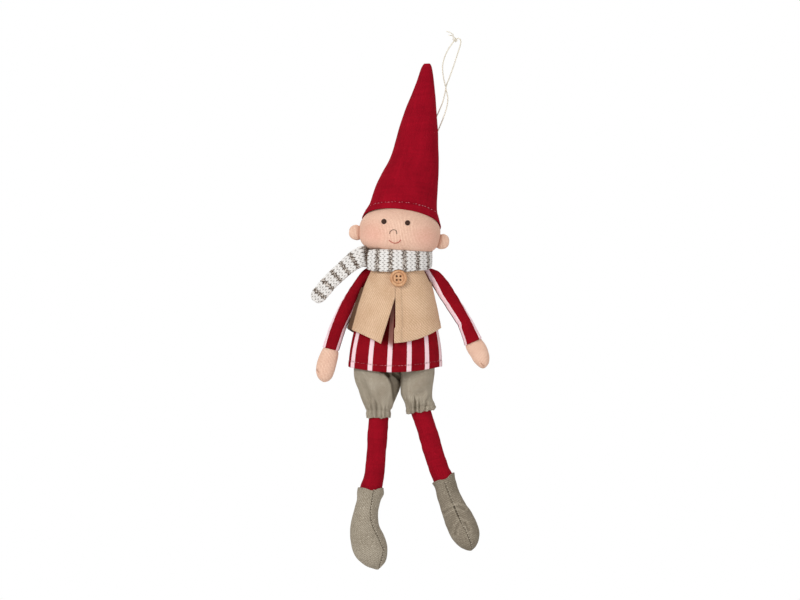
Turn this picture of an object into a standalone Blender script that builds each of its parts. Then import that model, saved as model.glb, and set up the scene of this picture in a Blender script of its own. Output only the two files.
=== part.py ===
# Elf figurine: a stuffed cloth doll in a pointed hat, hung by a loop of string.
# Metres, +Z up, the face towards -Y. Sizes below are millimetres, measured from the
# top of the neck, and the whole doll then hangs with the top of its loop at the origin.

import math

import bmesh
import bpy
from mathutils import Vector

MM = 0.001

# Fit
GAP = 0.3                 # air between two pieces that touch
EASE = 0.8                # air between two layers of clothing
CLOTH = 0.9               # garment cloth with its turned edge
KNIT = 3.2                # thickness of the knitted scarf

# Head and face
HEAD_WIDTH = 57.0
HEAD_DEPTH = 44.6
HEAD_RISE = 14.7          # widest level of the head above the neck
HEAD_SHIFT = 1.5          # the head sits a little to the side of the neck
CROWN_HEIGHT = 20.0
CHIN_DROP = 17.5
HEAD_TILT = math.radians(5.0)
EAR_REACH = 7.0           # how far an ear stands out from the head
EAR_HEIGHT = 11.4
EAR_THICKNESS = 5.6
EAR_DROP = 5.2            # ear centre below the widest level
EYE_SIZE = 3.7
EYE_THICKNESS = 0.8
STITCH = 0.6              # diameter of the embroidery thread bundle

# Hat and its loop
HAT_HEIGHT = 115.9        # tip above the widest level of the head
HEM_SETBACK = 4.4         # the brim sits further back than the face
STRING = 0.9              # diameter of the hanging string

# Body and clothes
BODY_WIDTH = 34.0
BODY_DEPTH = 23.0
BODY_LENGTH = 72.0
COLLAR_DROP = 4.0         # top of the clothes below the top of the neck
FLARE_START = 15.6        # below this the clothes widen
ARMHOLE_EASE = 0.5        # air round the arm where it passes through the clothes
SHOULDER_BACK = 3.4       # the arms hang a little behind the middle
VEST_LENGTH = 54.4
VEST_FRONT_DROP = 10.4
VEST_HEM_WIDTH = 64.6
VEST_HEM_DEPTH = 40.0
VEST_HEM_SHIFT = -2.2
TUNIC_LENGTH = 80.2
TUNIC_FRONT_DROP = 5.0
TUNIC_HEM_WIDTH = 65.7
TUNIC_HEM_DEPTH = 38.0
TUNIC_HEM_SHIFT = -2.0
HIP_POWER = 1.3           # how late the tunic's sides swing out over the hips
TUNIC_STRIPES = 12
STRIPE_SHARE = 0.26       # pink part of each stripe's repeat

# Button
BUTTON_SIZE = 12.0
BUTTON_THICKNESS = 2.6
BUTTON_RIM = 1.9
BUTTON_DISH = 0.8
BUTTON_HOLE = 1.3
BUTTON_HOLE_SPREAD = 2.6  # from one hole's middle to the next
BUTTON_LEVEL = 19.9       # middle of the button below the neck

# Limbs
SLEEVE_DEPTH = 10.0
SLEEVE_HEM = 3.0          # how far the hand goes up into the sleeve
HAND_DEPTH = 9.6
TROUSER_DEPTH = 26.0
GATHERS = 12              # pleats round each trouser leg
GATHER_DEPTH = 0.8
FRILL_LENGTH = 5.0        # frill below the elastic
STOCKING_WIDTH = 13.8
STOCKING_DEPTH = 12.6
BOOT_CUFF = 4.6           # how far the stocking goes down into the boot
BOOT_DEPTH = 20.0

# Top of the hanging loop, from the top of the neck
LOOP_TOP = Vector((42.2, 0.0, 148.1))

RED_HAT = (0.34, 0.006, 0.018, 1)
RED_COTTON = (0.27, 0.005, 0.012, 1)
PINK_STRIPE = (0.91, 0.67, 0.72, 1)
SKIN_KNIT = (0.80, 0.56, 0.39, 1)
OAT_LINEN = (0.67, 0.49, 0.29, 1)
GREY_LINEN = (0.36, 0.31, 0.23, 1)
WHITE_WOOL = (0.83, 0.81, 0.78, 1)
BROWN_WOOL = (0.19, 0.14, 0.10, 1)
PALE_WOOD = (0.67, 0.36, 0.16, 1)
STRING_COTTON = (0.68, 0.62, 0.50, 1)
DARK_THREAD = (0.045, 0.028, 0.02, 1)
RED_THREAD = (0.62, 0.10, 0.09, 1)


# Scene

def clear_scene():
    for obj in list(bpy.data.objects):
        bpy.data.objects.remove(obj)


def new_collection(name):
    group = bpy.data.collections.new(name)
    bpy.context.scene.collection.children.link(group)
    return group


clear_scene()
doll = new_collection("elf_figurine")
tools = new_collection("cutters")

hang_point = bpy.data.objects.new("hang_point", None)
hang_point.location = -LOOP_TOP * MM
doll.objects.link(hang_point)


def cloth(name, colour, roughness=0.9):
    mat = bpy.data.materials.new(name)
    mat.use_nodes = True
    shader = mat.node_tree.nodes["Principled BSDF"]
    shader.inputs["Base Color"].default_value = colour
    shader.inputs["Roughness"].default_value = roughness
    shader.inputs["Metallic"].default_value = 0.0
    return mat


skin_knit = cloth("skin_knit", SKIN_KNIT)
hat_felt = cloth("hat_twill", RED_HAT)
red_cotton = cloth("red_cotton", RED_COTTON)
pink_cotton = cloth("pink_cotton", PINK_STRIPE)
oat_linen = cloth("oat_linen", OAT_LINEN)
grey_linen = cloth("grey_linen", GREY_LINEN)
white_wool = cloth("white_wool", WHITE_WOOL)
brown_wool = cloth("brown_wool", BROWN_WOOL)
pale_wood = cloth("pale_wood", PALE_WOOD, 0.55)
string_cotton = cloth("string_cotton", STRING_COTTON)
dark_thread = cloth("dark_thread", DARK_THREAD, 0.7)
red_thread = cloth("red_thread", RED_THREAD, 0.7)


# Shape tools

def place(obj, group=doll):
    group.objects.link(obj)
    obj.parent = hang_point
    return obj


def as_object(name, bm, *materials, group=doll):
    mesh = bpy.data.meshes.new(name)
    bm.to_mesh(mesh)
    bm.free()
    for mat in materials:
        mesh.materials.append(mat)
    mesh.shade_smooth()
    mesh.set_sharp_from_angle(angle=math.radians(50))
    return place(bpy.data.objects.new(name, mesh), group)


def smooth_rows(rows, steps):
    """The rows with steps - 1 more between each two, on one smooth curve through all."""
    last = len(rows) - 1
    made = []
    for i in range(last):
        before, here = rows[max(i - 1, 0)], rows[i]
        there, after = rows[i + 1], rows[min(i + 2, last)]
        for k in range(steps):
            t = k / steps
            made.append(tuple(
                0.5 * (2 * b + (c - a) * t + (2 * a - 5 * b + 4 * c - d) * t * t
                       + (3 * b - a - 3 * c + d) * t ** 3)
                for a, b, c, d in zip(before, here, there, after)))
    made.append(tuple(rows[last]))
    return made


def squared(value, power):
    """A cosine or sine pushed outwards, so that a round turns into a rounded square."""
    return math.copysign(abs(value) ** (2 / power), value)


def ring(row, sides, power=2.0, y_shift=0.0, pleats=0, pleat_depth=0.0):
    """A closed ring through a section's left and right edge points.
    row is left x, left z, right x, right z, half depth, rise of the front edge."""
    left = Vector((row[0], y_shift, row[1]))
    right = Vector((row[2], y_shift, row[3]))
    middle = (left + right) / 2
    across = (right - left) / 2
    forward = Vector((0, -row[4], row[5]))
    points = []
    for k in range(sides):
        turn = 2 * math.pi * k / sides
        out = across * squared(math.cos(turn), power) + forward * squared(math.sin(turn), power)
        if pleats:
            wave = pleat_depth * math.cos(pleats * turn)
            out = out * (1 + wave / out.length)
        points.append(middle + out)
    return points


def shrunk(points, inset, shift=None):
    """The ring drawn in towards its middle by inset, and moved by shift."""
    middle = sum(points, Vector()) / len(points)
    shift = shift or Vector()
    return [p + (middle - p).normalized() * inset + shift for p in points]


def close_end(bm, loop, tip):
    if tip is None:
        bm.faces.new(loop)
        return
    point = bm.verts.new(tip * MM)
    for a, b in zip(loop, loop[1:] + loop[:1]):
        bm.faces.new((a, b, point))


def loft(name, rings, *materials, first_tip=None, last_tip=None, stripes=(), bands=(),
         group=doll):
    """A closed skin over the rings. Faces in the columns of stripes, or in the rows of
    bands, take the second material."""
    bm = bmesh.new()
    loops = [[bm.verts.new(p * MM) for p in points] for points in rings]
    for row, (low, high) in enumerate(zip(loops, loops[1:])):
        for k in range(len(low)):
            n = (k + 1) % len(low)
            face = bm.faces.new((low[k], low[n], high[n], high[k]))
            face.material_index = int(k in stripes or row in bands)
    close_end(bm, loops[0], first_tip)
    close_end(bm, loops[-1], last_tip)
    bmesh.ops.recalc_face_normals(bm, faces=bm.faces)
    return as_object(name, bm, *materials, group=group)


def tube(name, points, diameter, mat):
    """A round thread along the points, with closed ends."""
    curve = bpy.data.curves.new(name, "CURVE")
    curve.dimensions = "3D"
    curve.bevel_depth = diameter / 2 * MM
    curve.bevel_resolution = 2
    curve.use_fill_caps = True
    spline = curve.splines.new("POLY")
    spline.points.add(len(points) - 1)
    for knot, p in zip(spline.points, points):
        knot.co = (*(Vector(p) * MM), 1)
    curve.materials.append(mat)
    return place(bpy.data.objects.new(name, curve))


def cut(obj, cutter):
    tool = obj.modifiers.new("cut " + cutter.name, "BOOLEAN")
    tool.operation = "DIFFERENCE"
    tool.object = cutter


def join(obj, other):
    tool = obj.modifiers.new("join " + other.name, "BOOLEAN")
    tool.operation = "UNION"
    tool.object = other


def as_cutter(obj):
    obj.hide_render = True
    obj.display_type = "WIRE"
    return obj


# Head: a stuffed knitted ball, turned and then pressed flat from front to back

HEAD_MIDDLE = Vector((HEAD_SHIFT, 0.0, HEAD_RISE))
CROWN_POWER = 1.7
CHIN_POWER = 3.3
HEAD_STEPS = 26
HEAD_PROFILE_STEPS = 13


def head_radius(z):
    """Half width of the head at a level above or below its widest one."""
    tall, power = (CROWN_HEIGHT, CROWN_POWER) if z > 0 else (CHIN_DROP, CHIN_POWER)
    share = min(abs(z) / tall, 1.0)
    return HEAD_WIDTH / 2 * (1 - share ** power) ** (1 / power)


def head_ball(name, extra, group):
    """The head, or the head grown by extra all over for the pieces that fit on it."""
    bm = bmesh.new()
    chain = []
    for i in range(HEAD_PROFILE_STEPS + 1):
        turn = math.pi * i / HEAD_PROFILE_STEPS
        tall, power = (CROWN_HEIGHT, CROWN_POWER) if i * 2 <= HEAD_PROFILE_STEPS else (
            CHIN_DROP, CHIN_POWER)
        radius = (HEAD_WIDTH / 2 + extra) * squared(math.sin(turn), power)
        height = (tall + extra) * squared(math.cos(turn), power)
        chain.append(bm.verts.new((max(radius, 0.0) * MM, 0.0, height * MM)))
    chain[0].co.x = 0.0
    chain[-1].co.x = 0.0
    for a, b in zip(chain, chain[1:]):
        bm.edges.new((a, b))
    head = as_object(name, bm, skin_knit, group=group)
    turned = head.modifiers.new("turned", "SCREW")
    turned.steps = HEAD_STEPS
    turned.render_steps = HEAD_STEPS
    turned.use_merge_vertices = True
    turned.merge_threshold = 0.00001
    head.location = HEAD_MIDDLE * MM
    head.rotation_euler.y = HEAD_TILT
    head.scale.y = (HEAD_DEPTH + 2 * extra) / (HEAD_WIDTH + 2 * extra)
    return head


head = head_ball("head", 0.0, doll)
head_room = as_cutter(head_ball("head_room", GAP, tools))


def head_point(x, z):
    """A place beside or below the head's middle, tilted with the head."""
    return HEAD_MIDDLE + Vector((
        x * math.cos(HEAD_TILT) + z * math.sin(HEAD_TILT), 0.0,
        z * math.cos(HEAD_TILT) - x * math.sin(HEAD_TILT)))


def face_point(x, z, lift):
    """A point on the front of the face, x and z from the head's middle, lifted off it."""
    wide = head_radius(z)
    y = -HEAD_DEPTH / HEAD_WIDTH * math.sqrt(max(wide ** 2 - x ** 2, 0.0))
    return head_point(x, z) + Vector((0.0, y - lift, 0.0))


# Ears: small stuffed pads sewn to the sides of the head

EAR_SIDES = (("left_ear", -1, 0.9), ("right_ear", 1, -0.6))


def ear(name, side, nudge):
    bm = bmesh.new()
    bmesh.ops.create_uvsphere(bm, u_segments=12, v_segments=8, radius=1.0)
    pad = as_object(name, bm, skin_knit)
    pad.location = head_point(side * HEAD_WIDTH / 2, nudge - EAR_DROP) * MM
    pad.rotation_euler.y = HEAD_TILT
    pad.scale = Vector((EAR_REACH, EAR_THICKNESS / 2, EAR_HEIGHT / 2)) * MM
    cut(pad, head_room)
    return pad


for ear_name, ear_side, ear_nudge in EAR_SIDES:
    ear(ear_name, ear_side, ear_nudge)


# Face: two eye spots, a nose and a smile, in raised embroidery

EYES = (("left_eye", -11.8, 4.3), ("right_eye", 5.0, 4.6))
NOSE_ROUTE = ((-7.0, -3.9), (-6.3, -1.9), (-4.8, -0.8), (-3.3, -1.7), (-2.2, -3.5))
MOUTH_ROUTE = ((-6.9, -8.6), (-5.3, -10.0), (-3.0, -10.5), (-0.8, -9.6), (0.7, -7.9))


def eye(name, x, z):
    bm = bmesh.new()
    bmesh.ops.create_uvsphere(bm, u_segments=10, v_segments=6, radius=1.0)
    spot = as_object(name, bm, dark_thread)
    spot.location = face_point(x, z, GAP * 1.2 + EYE_THICKNESS / 2) * MM
    slope_x = (face_point(x + 1, z, 0) - face_point(x - 1, z, 0)).normalized()
    slope_z = (face_point(x, z + 1, 0) - face_point(x, z - 1, 0)).normalized()
    outward = slope_x.cross(slope_z).normalized()
    spot.rotation_euler = outward.to_track_quat("Z", "Y").to_euler()
    spot.scale = Vector((EYE_SIZE / 2, EYE_SIZE / 2, EYE_THICKNESS / 2)) * MM
    return spot


def stitched_line(name, route, mat):
    points = [face_point(x, z, GAP * 1.2 + STITCH / 2) for x, z in smooth_rows(route, 2)]
    return tube(name, points, STITCH, mat)


for eye_name, eye_x, eye_z in EYES:
    eye(eye_name, eye_x, eye_z)
stitched_line("nose", NOSE_ROUTE, dark_thread)
stitched_line("mouth", MOUTH_ROUTE, red_thread)


# Hat: a leaning cone of twill, pulled down over the crown of the head.
# Each row is left edge, its height, right edge, its height, half depth, rise of the
# front, and how far back the ring sits. Edges and depths are shares of the head's half
# width, and heights, with the rise, are shares of the hat's height.

HAT_ROWS = (
    (-0.926, 0.066, 0.993, 0.011, 0.667, 0.088, 1.00),
    (-0.825, 0.117, 0.909, 0.087, 0.640, 0.069, 1.00),
    (-0.740, 0.157, 0.895, 0.139, 0.600, 0.056, 0.80),
    (-0.618, 0.256, 0.930, 0.254, 0.545, 0.030, 0.50),
    (-0.470, 0.329, 0.944, 0.344, 0.510, 0.017, 0.30),
    (-0.256, 0.425, 0.951, 0.441, 0.474, 0.009, 0.15),
    (-0.126, 0.534, 0.940, 0.556, 0.428, 0.000, 0.00),
    (-0.018, 0.622, 0.926, 0.646, 0.386, 0.000, 0.00),
    (0.193, 0.755, 0.891, 0.773, 0.302, 0.000, 0.00),
    (0.425, 0.900, 0.814, 0.909, 0.180, 0.000, 0.00),
    (0.537, 0.972, 0.758, 0.978, 0.110, 0.000, 0.00),
)
HAT_TIP = (0.660, 1.0)
HAT_SIDES = 20


def hat_row(row):
    half = HEAD_WIDTH / 2
    return (HEAD_SHIFT + row[0] * half, HEAD_RISE + row[1] * HAT_HEIGHT,
            HEAD_SHIFT + row[2] * half, HEAD_RISE + row[3] * HAT_HEIGHT,
            row[4] * half, row[5] * HAT_HEIGHT, row[6] * HEM_SETBACK)


hat_rows = smooth_rows([hat_row(row) for row in HAT_ROWS], 2)
hat = loft("hat", [ring(row, HAT_SIDES, y_shift=row[6]) for row in hat_rows], hat_felt,
           last_tip=Vector((HEAD_SHIFT + HAT_TIP[0] * HEAD_WIDTH / 2, 0.0,
                            HEAD_RISE + HAT_TIP[1] * HAT_HEIGHT)))
cut(hat, head_room)


# Hanging loop: one string, sewn to the back of the hat's right edge at both ends. The
# strands cross above the hat, and the two ends are knotted round the top of the loop.

STRING_ROUTE = (
    (27.0, 5.6, 81.5), (28.4, 3.6, 84.4), (31.6, 1.6, 92.2), (34.0, 0.4, 99.4),
    (34.9, -0.6, 105.6), (34.1, -1.0, 110.4), (33.0, -0.9, 115.6), (31.7, -0.6, 121.6),
    (31.2, -0.2, 128.6), (32.7, 0.0, 135.2), (35.6, 0.0, 141.2), (38.8, 0.0, 145.6),
    (40.9, 0.0, 147.6), (42.2, 0.0, 148.1), (43.5, 0.0, 147.4), (44.0, 0.0, 145.6),
    (43.3, 0.0, 142.4), (41.4, 0.1, 136.4), (38.6, 0.4, 127.9), (36.2, 0.7, 121.2),
    (33.9, 0.9, 115.2), (33.0, 0.8, 110.4), (31.4, 1.0, 103.8), (28.7, 3.0, 97.2),
    (27.0, 5.4, 93.6),
)
KNOT_AT = (39.9, 0.0, 146.7)
KNOT_TURNS = 2
KNOT_LONG_END = ((34.0, -0.4, 153.0), (36.2, -0.9, 152.3), (38.6, -1.4, 150.9))
KNOT_SHORT_END = ((37.6, 1.0, 150.2), (35.4, 0.6, 150.4))


def knot_route():
    """The two tied ends: in from the left, round the string and out again."""
    along = (Vector(STRING_ROUTE[12]) - Vector(STRING_ROUTE[11])).normalized()
    side = Vector((0, -1, 0))
    up = side.cross(along).normalized()
    radius = STRING + GAP
    start = Vector(KNOT_AT) - along * STRING * 0.8
    points = list(KNOT_LONG_END)
    for k in range(KNOT_TURNS * 6 + 1):
        turn = 2 * math.pi * k / 6
        rise = along * (k / 6 * (STRING + GAP / 3))
        points.append(start + rise + up * radius * math.cos(turn)
                      + side * radius * math.sin(turn))
    points.extend(KNOT_SHORT_END)
    return [tuple(p) for p in points]


tube("hanging_cord", smooth_rows(STRING_ROUTE, 2), STRING, string_cotton)
tube("loop_knot", smooth_rows(knot_route(), 1), STRING * 0.8, string_cotton)


# Body: the stuffed bag that the head, arms and legs are sewn to

BODY_ROWS = (
    (2.0, 0.62, 0.72), (-COLLAR_DROP, 0.86, 0.90), (-FLARE_START, 1.0, 1.0),
    (-30.0, 1.02, 1.0), (-52.0, 1.12, 1.0), (-BODY_LENGTH, 1.2, 0.98),
)


def body_row(z, wide, deep, extra):
    half = BODY_WIDTH / 2 * wide + extra
    return (-half, z, half, z, BODY_DEPTH / 2 * deep + extra, 0.0)


def body_bag(name, extra, group):
    rows = [body_row(*row, extra) for row in BODY_ROWS]
    return loft(name, [ring(row, 12, power=2.2) for row in rows], oat_linen, group=group)


body = body_bag("body", 0.0, doll)
body_room = as_cutter(body_bag("body_room", GAP, tools))
cut(body, head_room)


# Clothes: flared shells; the arms' own rooms, cut out of them, are their armholes

def flare(z, collar, hem, length, round_hip=False):
    """A half size that keeps the collar's value down to the flare, then widens: evenly, or
    quickly over a round hip and then hardly at all."""
    share = min(max((-z - FLARE_START) / (length - FLARE_START), 0.0), 1.2)
    if round_hip:
        share = math.sin(min(share, 1.0) * math.pi / 2) ** HIP_POWER
    return collar + (hem - collar) * share


class Garment:
    """The outer surface of a flared shell: where a point lies at a level and a turn."""

    def __init__(self, layer, length, drop, hem_width, hem_depth, hem_shift, round_hip):
        grown = layer * (EASE + CLOTH)
        self.collar_width = BODY_WIDTH / 2 + grown
        self.collar_depth = BODY_DEPTH / 2 + grown
        self.length, self.drop, self.round_hip = length, drop, round_hip
        self.hem_width, self.hem_depth = hem_width / 2, hem_depth / 2
        self.hem_shift = hem_shift

    def half_width(self, z):
        return flare(z, self.collar_width, self.hem_width, self.length, self.round_hip)

    def half_depth(self, z):
        return flare(z, self.collar_depth, self.hem_depth, self.length)

    def middle(self, z):
        return flare(z, 0.0, self.hem_shift, self.length)

    def hem(self, turn):
        return -self.length - self.drop * math.sin(turn) ** 2

    def point(self, turn, z):
        return Vector((self.middle(z) + self.half_width(z) * math.cos(turn),
                       -self.half_depth(z) * math.sin(turn), z))

    def turn_at(self, x, z):
        """The turn at which the front of the shell reaches x."""
        share = (x - self.middle(z)) / self.half_width(z)
        return math.acos(min(max(share, -1.0), 1.0))


def shell(name, columns, closed, thickness, *materials, stripes=()):
    """A sheet through the columns of points, thickened inwards."""
    bm = bmesh.new()
    grid = [[bm.verts.new(p * MM) for p in column] for column in columns]
    pairs = list(zip(grid, grid[1:] + grid[:1])) if closed else list(zip(grid, grid[1:]))
    for k, (a, b) in enumerate(pairs):
        for i in range(len(a) - 1):
            face = bm.faces.new((a[i], a[i + 1], b[i + 1], b[i]))
            face.material_index = int(k in stripes)
    bmesh.ops.recalc_face_normals(bm, faces=bm.faces)
    made = as_object(name, bm, *materials)
    thick = made.modifiers.new("cloth", "SOLIDIFY")
    thick.thickness = thickness * MM
    thick.offset = -1.0
    thick.use_even_offset = True
    return made


# Tunic: striped cotton, closed all round

TUNIC_ROWS = 3
tunic_shape = Garment(1, TUNIC_LENGTH, TUNIC_FRONT_DROP, TUNIC_HEM_WIDTH, TUNIC_HEM_DEPTH,
                      TUNIC_HEM_SHIFT, True)
STRIPE_START = 93.0       # degrees round to the stripe nearest the middle of the front


def even_turns(shape, z, count, start):
    """count turns, an even length of cloth apart, round the shell at level z."""
    fine = 720
    points = [shape.point(start + 2 * math.pi * k / fine, z) for k in range(fine + 1)]
    run = [0.0]
    for a, b in zip(points, points[1:]):
        run.append(run[-1] + (b - a).length)
    return run, fine


def stripe_turns(shape):
    """The turns of the three columns of each stripe: its two edges, and half the red."""
    start = math.radians(STRIPE_START)
    run, fine = even_turns(shape, -shape.length, TUNIC_STRIPES, start)
    shares = []
    for k in range(TUNIC_STRIPES):
        shares += [k, k + STRIPE_SHARE, k + (1 + STRIPE_SHARE) / 2]
    turns = []
    for share in shares:
        wanted = share / TUNIC_STRIPES * run[-1]
        i = next(n for n in range(fine + 1) if run[n] >= wanted)
        turns.append(start + 2 * math.pi * i / fine)
    return turns


def levels(shape, turn, rows):
    """Heights down one column: the collar, the start of the flare, then evenly to the hem."""
    top, hem = -FLARE_START, shape.hem(turn)
    return [-COLLAR_DROP] + [top + (hem - top) * i / rows for i in range(rows + 1)]


def garment_column(shape, turn, rows):
    return [shape.point(turn, z) for z in levels(shape, turn, rows)]


tunic_turns = stripe_turns(tunic_shape)
tunic = shell("tunic", [garment_column(tunic_shape, turn, TUNIC_ROWS) for turn in tunic_turns], True,
              CLOTH, red_cotton, pink_cotton, stripes=range(0, len(tunic_turns), 3))


# Vest: linen, open down the front below the button

VEST_COLUMNS = 26
VEST_ROWS = 4
VEST_RIGHT_EDGE = -2.1    # the right panel's front edge runs straight down
VEST_SLIT_TOP = 33.0      # the panels meet above this level
VEST_SLIT_WIDTH = 9.8     # opening between the panels at the hem
VEST_SEAM = 0.5           # crack between the panels above the slit
vest_shape = Garment(2, VEST_LENGTH, VEST_FRONT_DROP, VEST_HEM_WIDTH, VEST_HEM_DEPTH,
                     VEST_HEM_SHIFT, False)


def left_panel_edge(z):
    slit = VEST_LENGTH + VEST_FRONT_DROP - VEST_SLIT_TOP
    return VEST_RIGHT_EDGE - VEST_SEAM - VEST_SLIT_WIDTH * max(-z - VEST_SLIT_TOP, 0.0) / slit


def vest_columns():
    columns = []
    level = -(VEST_SLIT_TOP + VEST_LENGTH) / 2
    first = vest_shape.turn_at(VEST_RIGHT_EDGE, level)
    last = vest_shape.turn_at(left_panel_edge(level), level) - 2 * math.pi
    for k in range(VEST_COLUMNS + 1):
        share = k / VEST_COLUMNS
        turn = first + (last - first) * share
        column = []
        for z in levels(vest_shape, turn, VEST_ROWS):
            here = vest_shape.turn_at(VEST_RIGHT_EDGE, z)
            there = vest_shape.turn_at(left_panel_edge(z), z) - 2 * math.pi
            column.append(vest_shape.point(here + (there - here) * share, z))
        columns.append(column)
    return columns


vest = shell("vest", vest_columns(), False, CLOTH, oat_linen)


# Button: a dished wooden disc with a raised rim and four holes

def button_profile():
    half = BUTTON_SIZE / 2
    inner = half - BUTTON_RIM
    round_off = BUTTON_THICKNESS * 0.3
    front = BUTTON_THICKNESS
    return ((0.0, front - BUTTON_DISH), (inner - 0.5, front - BUTTON_DISH),
            (inner, front - 0.25), (inner + 0.5, front), (half - 0.6, front),
            (half - 0.15, front - 0.4), (half, front - round_off - 0.3),
            (half, round_off), (half - round_off, 0.0), (0.0, 0.0))


def button():
    bm = bmesh.new()
    chain = [bm.verts.new((r * MM, 0.0, z * MM)) for r, z in button_profile()]
    for a, b in zip(chain, chain[1:]):
        bm.edges.new((a, b))
    disc = as_object("button", bm, pale_wood)
    turned = disc.modifiers.new("turned", "SCREW")
    turned.steps = 22
    turned.render_steps = 22
    turned.use_merge_vertices = True
    turned.merge_threshold = 0.00001
    level = -BUTTON_LEVEL
    slope = math.atan2(vest_shape.half_depth(level - 1) - vest_shape.half_depth(level + 1), 2)
    front = vest_shape.half_depth(level)
    disc.location = Vector((0.4, -(front + GAP * 1.4), level)) * MM
    disc.rotation_euler.x = math.pi / 2 - slope
    bm = bmesh.new()
    bmesh.ops.create_cone(bm, cap_ends=True, segments=26, radius1=(BUTTON_SIZE / 2 + GAP) * MM,
                          radius2=(BUTTON_SIZE / 2 + GAP) * MM, depth=20 * MM)
    room = as_cutter(as_object("button_room", bm, group=tools))
    room.parent = disc
    room.location.z = (10 - GAP) * MM
    for side in (-1, 1):
        for rise in (-1, 1):
            bm = bmesh.new()
            bmesh.ops.create_cone(bm, cap_ends=True, segments=8, radius1=BUTTON_HOLE / 2 * MM,
                                  radius2=BUTTON_HOLE / 2 * MM, depth=3 * BUTTON_THICKNESS * MM)
            drill = as_cutter(as_object(f"button_drill_{side}_{rise}", bm, group=tools))
            drill.parent = disc
            drill.location = Vector((side, rise, 0)) * BUTTON_HOLE_SPREAD / 2 * MM
            cut(disc, drill)
    return room


button_room = button()


# Scarf: one knitted strip. It runs from the tip of the tail to the left of the neck,
# behind the neck, round the right side and across the front.

NECK_WRAP_WIDTH = BODY_WIDTH / 2 + 2 * (EASE + CLOTH) + EASE + KNIT / 2
NECK_WRAP_DEPTH = BODY_DEPTH / 2 + 2 * (EASE + CLOTH) + EASE + KNIT / 2
SCARF_SHIFT = -0.6
# across, back, up, half width of the strip
SCARF_TAIL = (
    (-57.6, -1.5, -35.0, 3.4), (-56.3, -1.5, -33.0, 5.0), (-52.8, -1.3, -28.3, 5.6),
    (-47.5, -1.0, -22.3, 5.6), (-40.6, -0.6, -15.8, 5.5), (-33.8, 0.4, -10.0, 5.7),
    (-28.2, 3.2, -6.2, 5.9),
)
# degrees round the neck, up, half width
SCARF_WRAP = (
    (148, -5.2, 6.0), (120, -5.2, 6.4), (90, -5.2, 6.6), (60, -5.4, 6.6), (30, -5.6, 6.5),
    (0, -6.2, 6.2), (-30, -7.2, 6.7), (-60, -7.6, 7.3), (-90, -7.7, 7.8), (-120, -7.0, 7.8),
    (-145, -5.2, 7.2), (-163, -4.6, 6.9),
)
SCARF_SIDES = 10
SCARF_STEPS = 2


def scarf_rows():
    rows = list(SCARF_TAIL)
    for degrees, up, half in SCARF_WRAP:
        turn = math.radians(degrees)
        rows.append((SCARF_SHIFT + NECK_WRAP_WIDTH * math.cos(turn),
                     NECK_WRAP_DEPTH * math.sin(turn), up, half))
    return smooth_rows(rows, SCARF_STEPS)


def scarf():
    rows = scarf_rows()
    rings = []
    for i, row in enumerate(rows):
        ahead = Vector(rows[min(i + 1, len(rows) - 1)][:3])
        behind = Vector(rows[max(i - 1, 0)][:3])
        along = (ahead - behind).normalized()
        flat = along.cross(Vector((0, 0, 1))).normalized()
        wide = flat.cross(along)
        middle = Vector(row[:3])
        rings.append([
            middle + wide * row[3] * squared(math.cos(turn), 2.6)
            + flat * KNIT / 2 * squared(math.sin(turn), 2.6)
            for turn in (2 * math.pi * k / SCARF_SIDES for k in range(SCARF_SIDES))])
    tip = Vector(rows[0][:3]) + (Vector(rows[0][:3]) - Vector(rows[1][:3])) * 1.6
    strip = loft("scarf", rings, white_wool, brown_wool, first_tip=tip,
                 bands=range(2, len(rings), 3))
    cut(strip, head_room)
    cut(strip, button_room)
    return strip


scarf()


# Arms and hands. An arm starts inside the body and is cut where it meets it. Each row is
# the arm's left edge and right edge, its half depth as a share of the sleeve's, and how
# far back it sits as a share of the shoulder's. A hand's rows have no share back, and
# start from the middle of the sleeve's end.

ARM_ROWS = {
    "left_arm": (
        (-12.0, -12.2, -11.6, -20.8, 0.70, 1.0), (-18.4, -12.6, -16.4, -23.0, 0.72, 1.0),
        (-23.6, -15.4, -19.6, -25.9, 0.80, 1.0), (-29.4, -21.3, -24.0, -31.0, 0.94, 0.95),
        (-39.2, -36.8, -30.8, -43.8, 1.04, 0.7), (-47.2, -53.8, -36.6, -56.7, 1.1, 0.3),
        (-52.9, -67.1, -40.8, -69.3, 1.14, 0.0),
    ),
    "right_arm": (
        (11.6, -20.0, 12.0, -11.8, 0.70, 1.0), (16.8, -21.6, 19.6, -12.1, 0.72, 1.0),
        (20.8, -24.0, 25.6, -13.4, 0.80, 1.0), (24.8, -28.0, 31.2, -17.0, 0.94, 0.95),
        (32.7, -39.6, 41.8, -32.2, 1.04, 0.7), (40.0, -50.6, 50.0, -45.3, 1.1, 0.3),
        (46.8, -67.2, 58.9, -61.1, 1.14, 0.0),
    ),
}
HAND_ROWS = {
    "left_hand": (
        (-6.2, -1.0, 5.3, -3.2, 0.90), (-8.3, -5.6, 4.9, -7.3, 0.98),
        (-9.9, -10.9, 3.7, -12.6, 1.0), (-10.5, -15.4, 2.4, -17.1, 0.98),
        (-9.7, -19.1, 0.8, -20.6, 0.84), (-8.0, -21.7, -1.6, -22.8, 0.56),
    ),
    "right_hand": (
        (-5.2, -4.0, 6.0, 1.4, 0.90), (-3.6, -7.7, 9.0, -2.8, 0.98),
        (-1.5, -11.0, 10.6, -7.0, 1.0), (0.5, -14.2, 11.5, -11.3, 0.98),
        (3.0, -17.0, 11.2, -15.0, 0.84), (4.9, -18.6, 9.6, -17.6, 0.56),
    ),
}
HAND_TIPS = {"left_hand": (-4.9, -23.7), "right_hand": (7.2, -19.1)}
ARM_SIDES = 14
ARM_STRIPES = (1, 5, 8, 12)
HAND_SIDES = 12


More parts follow.
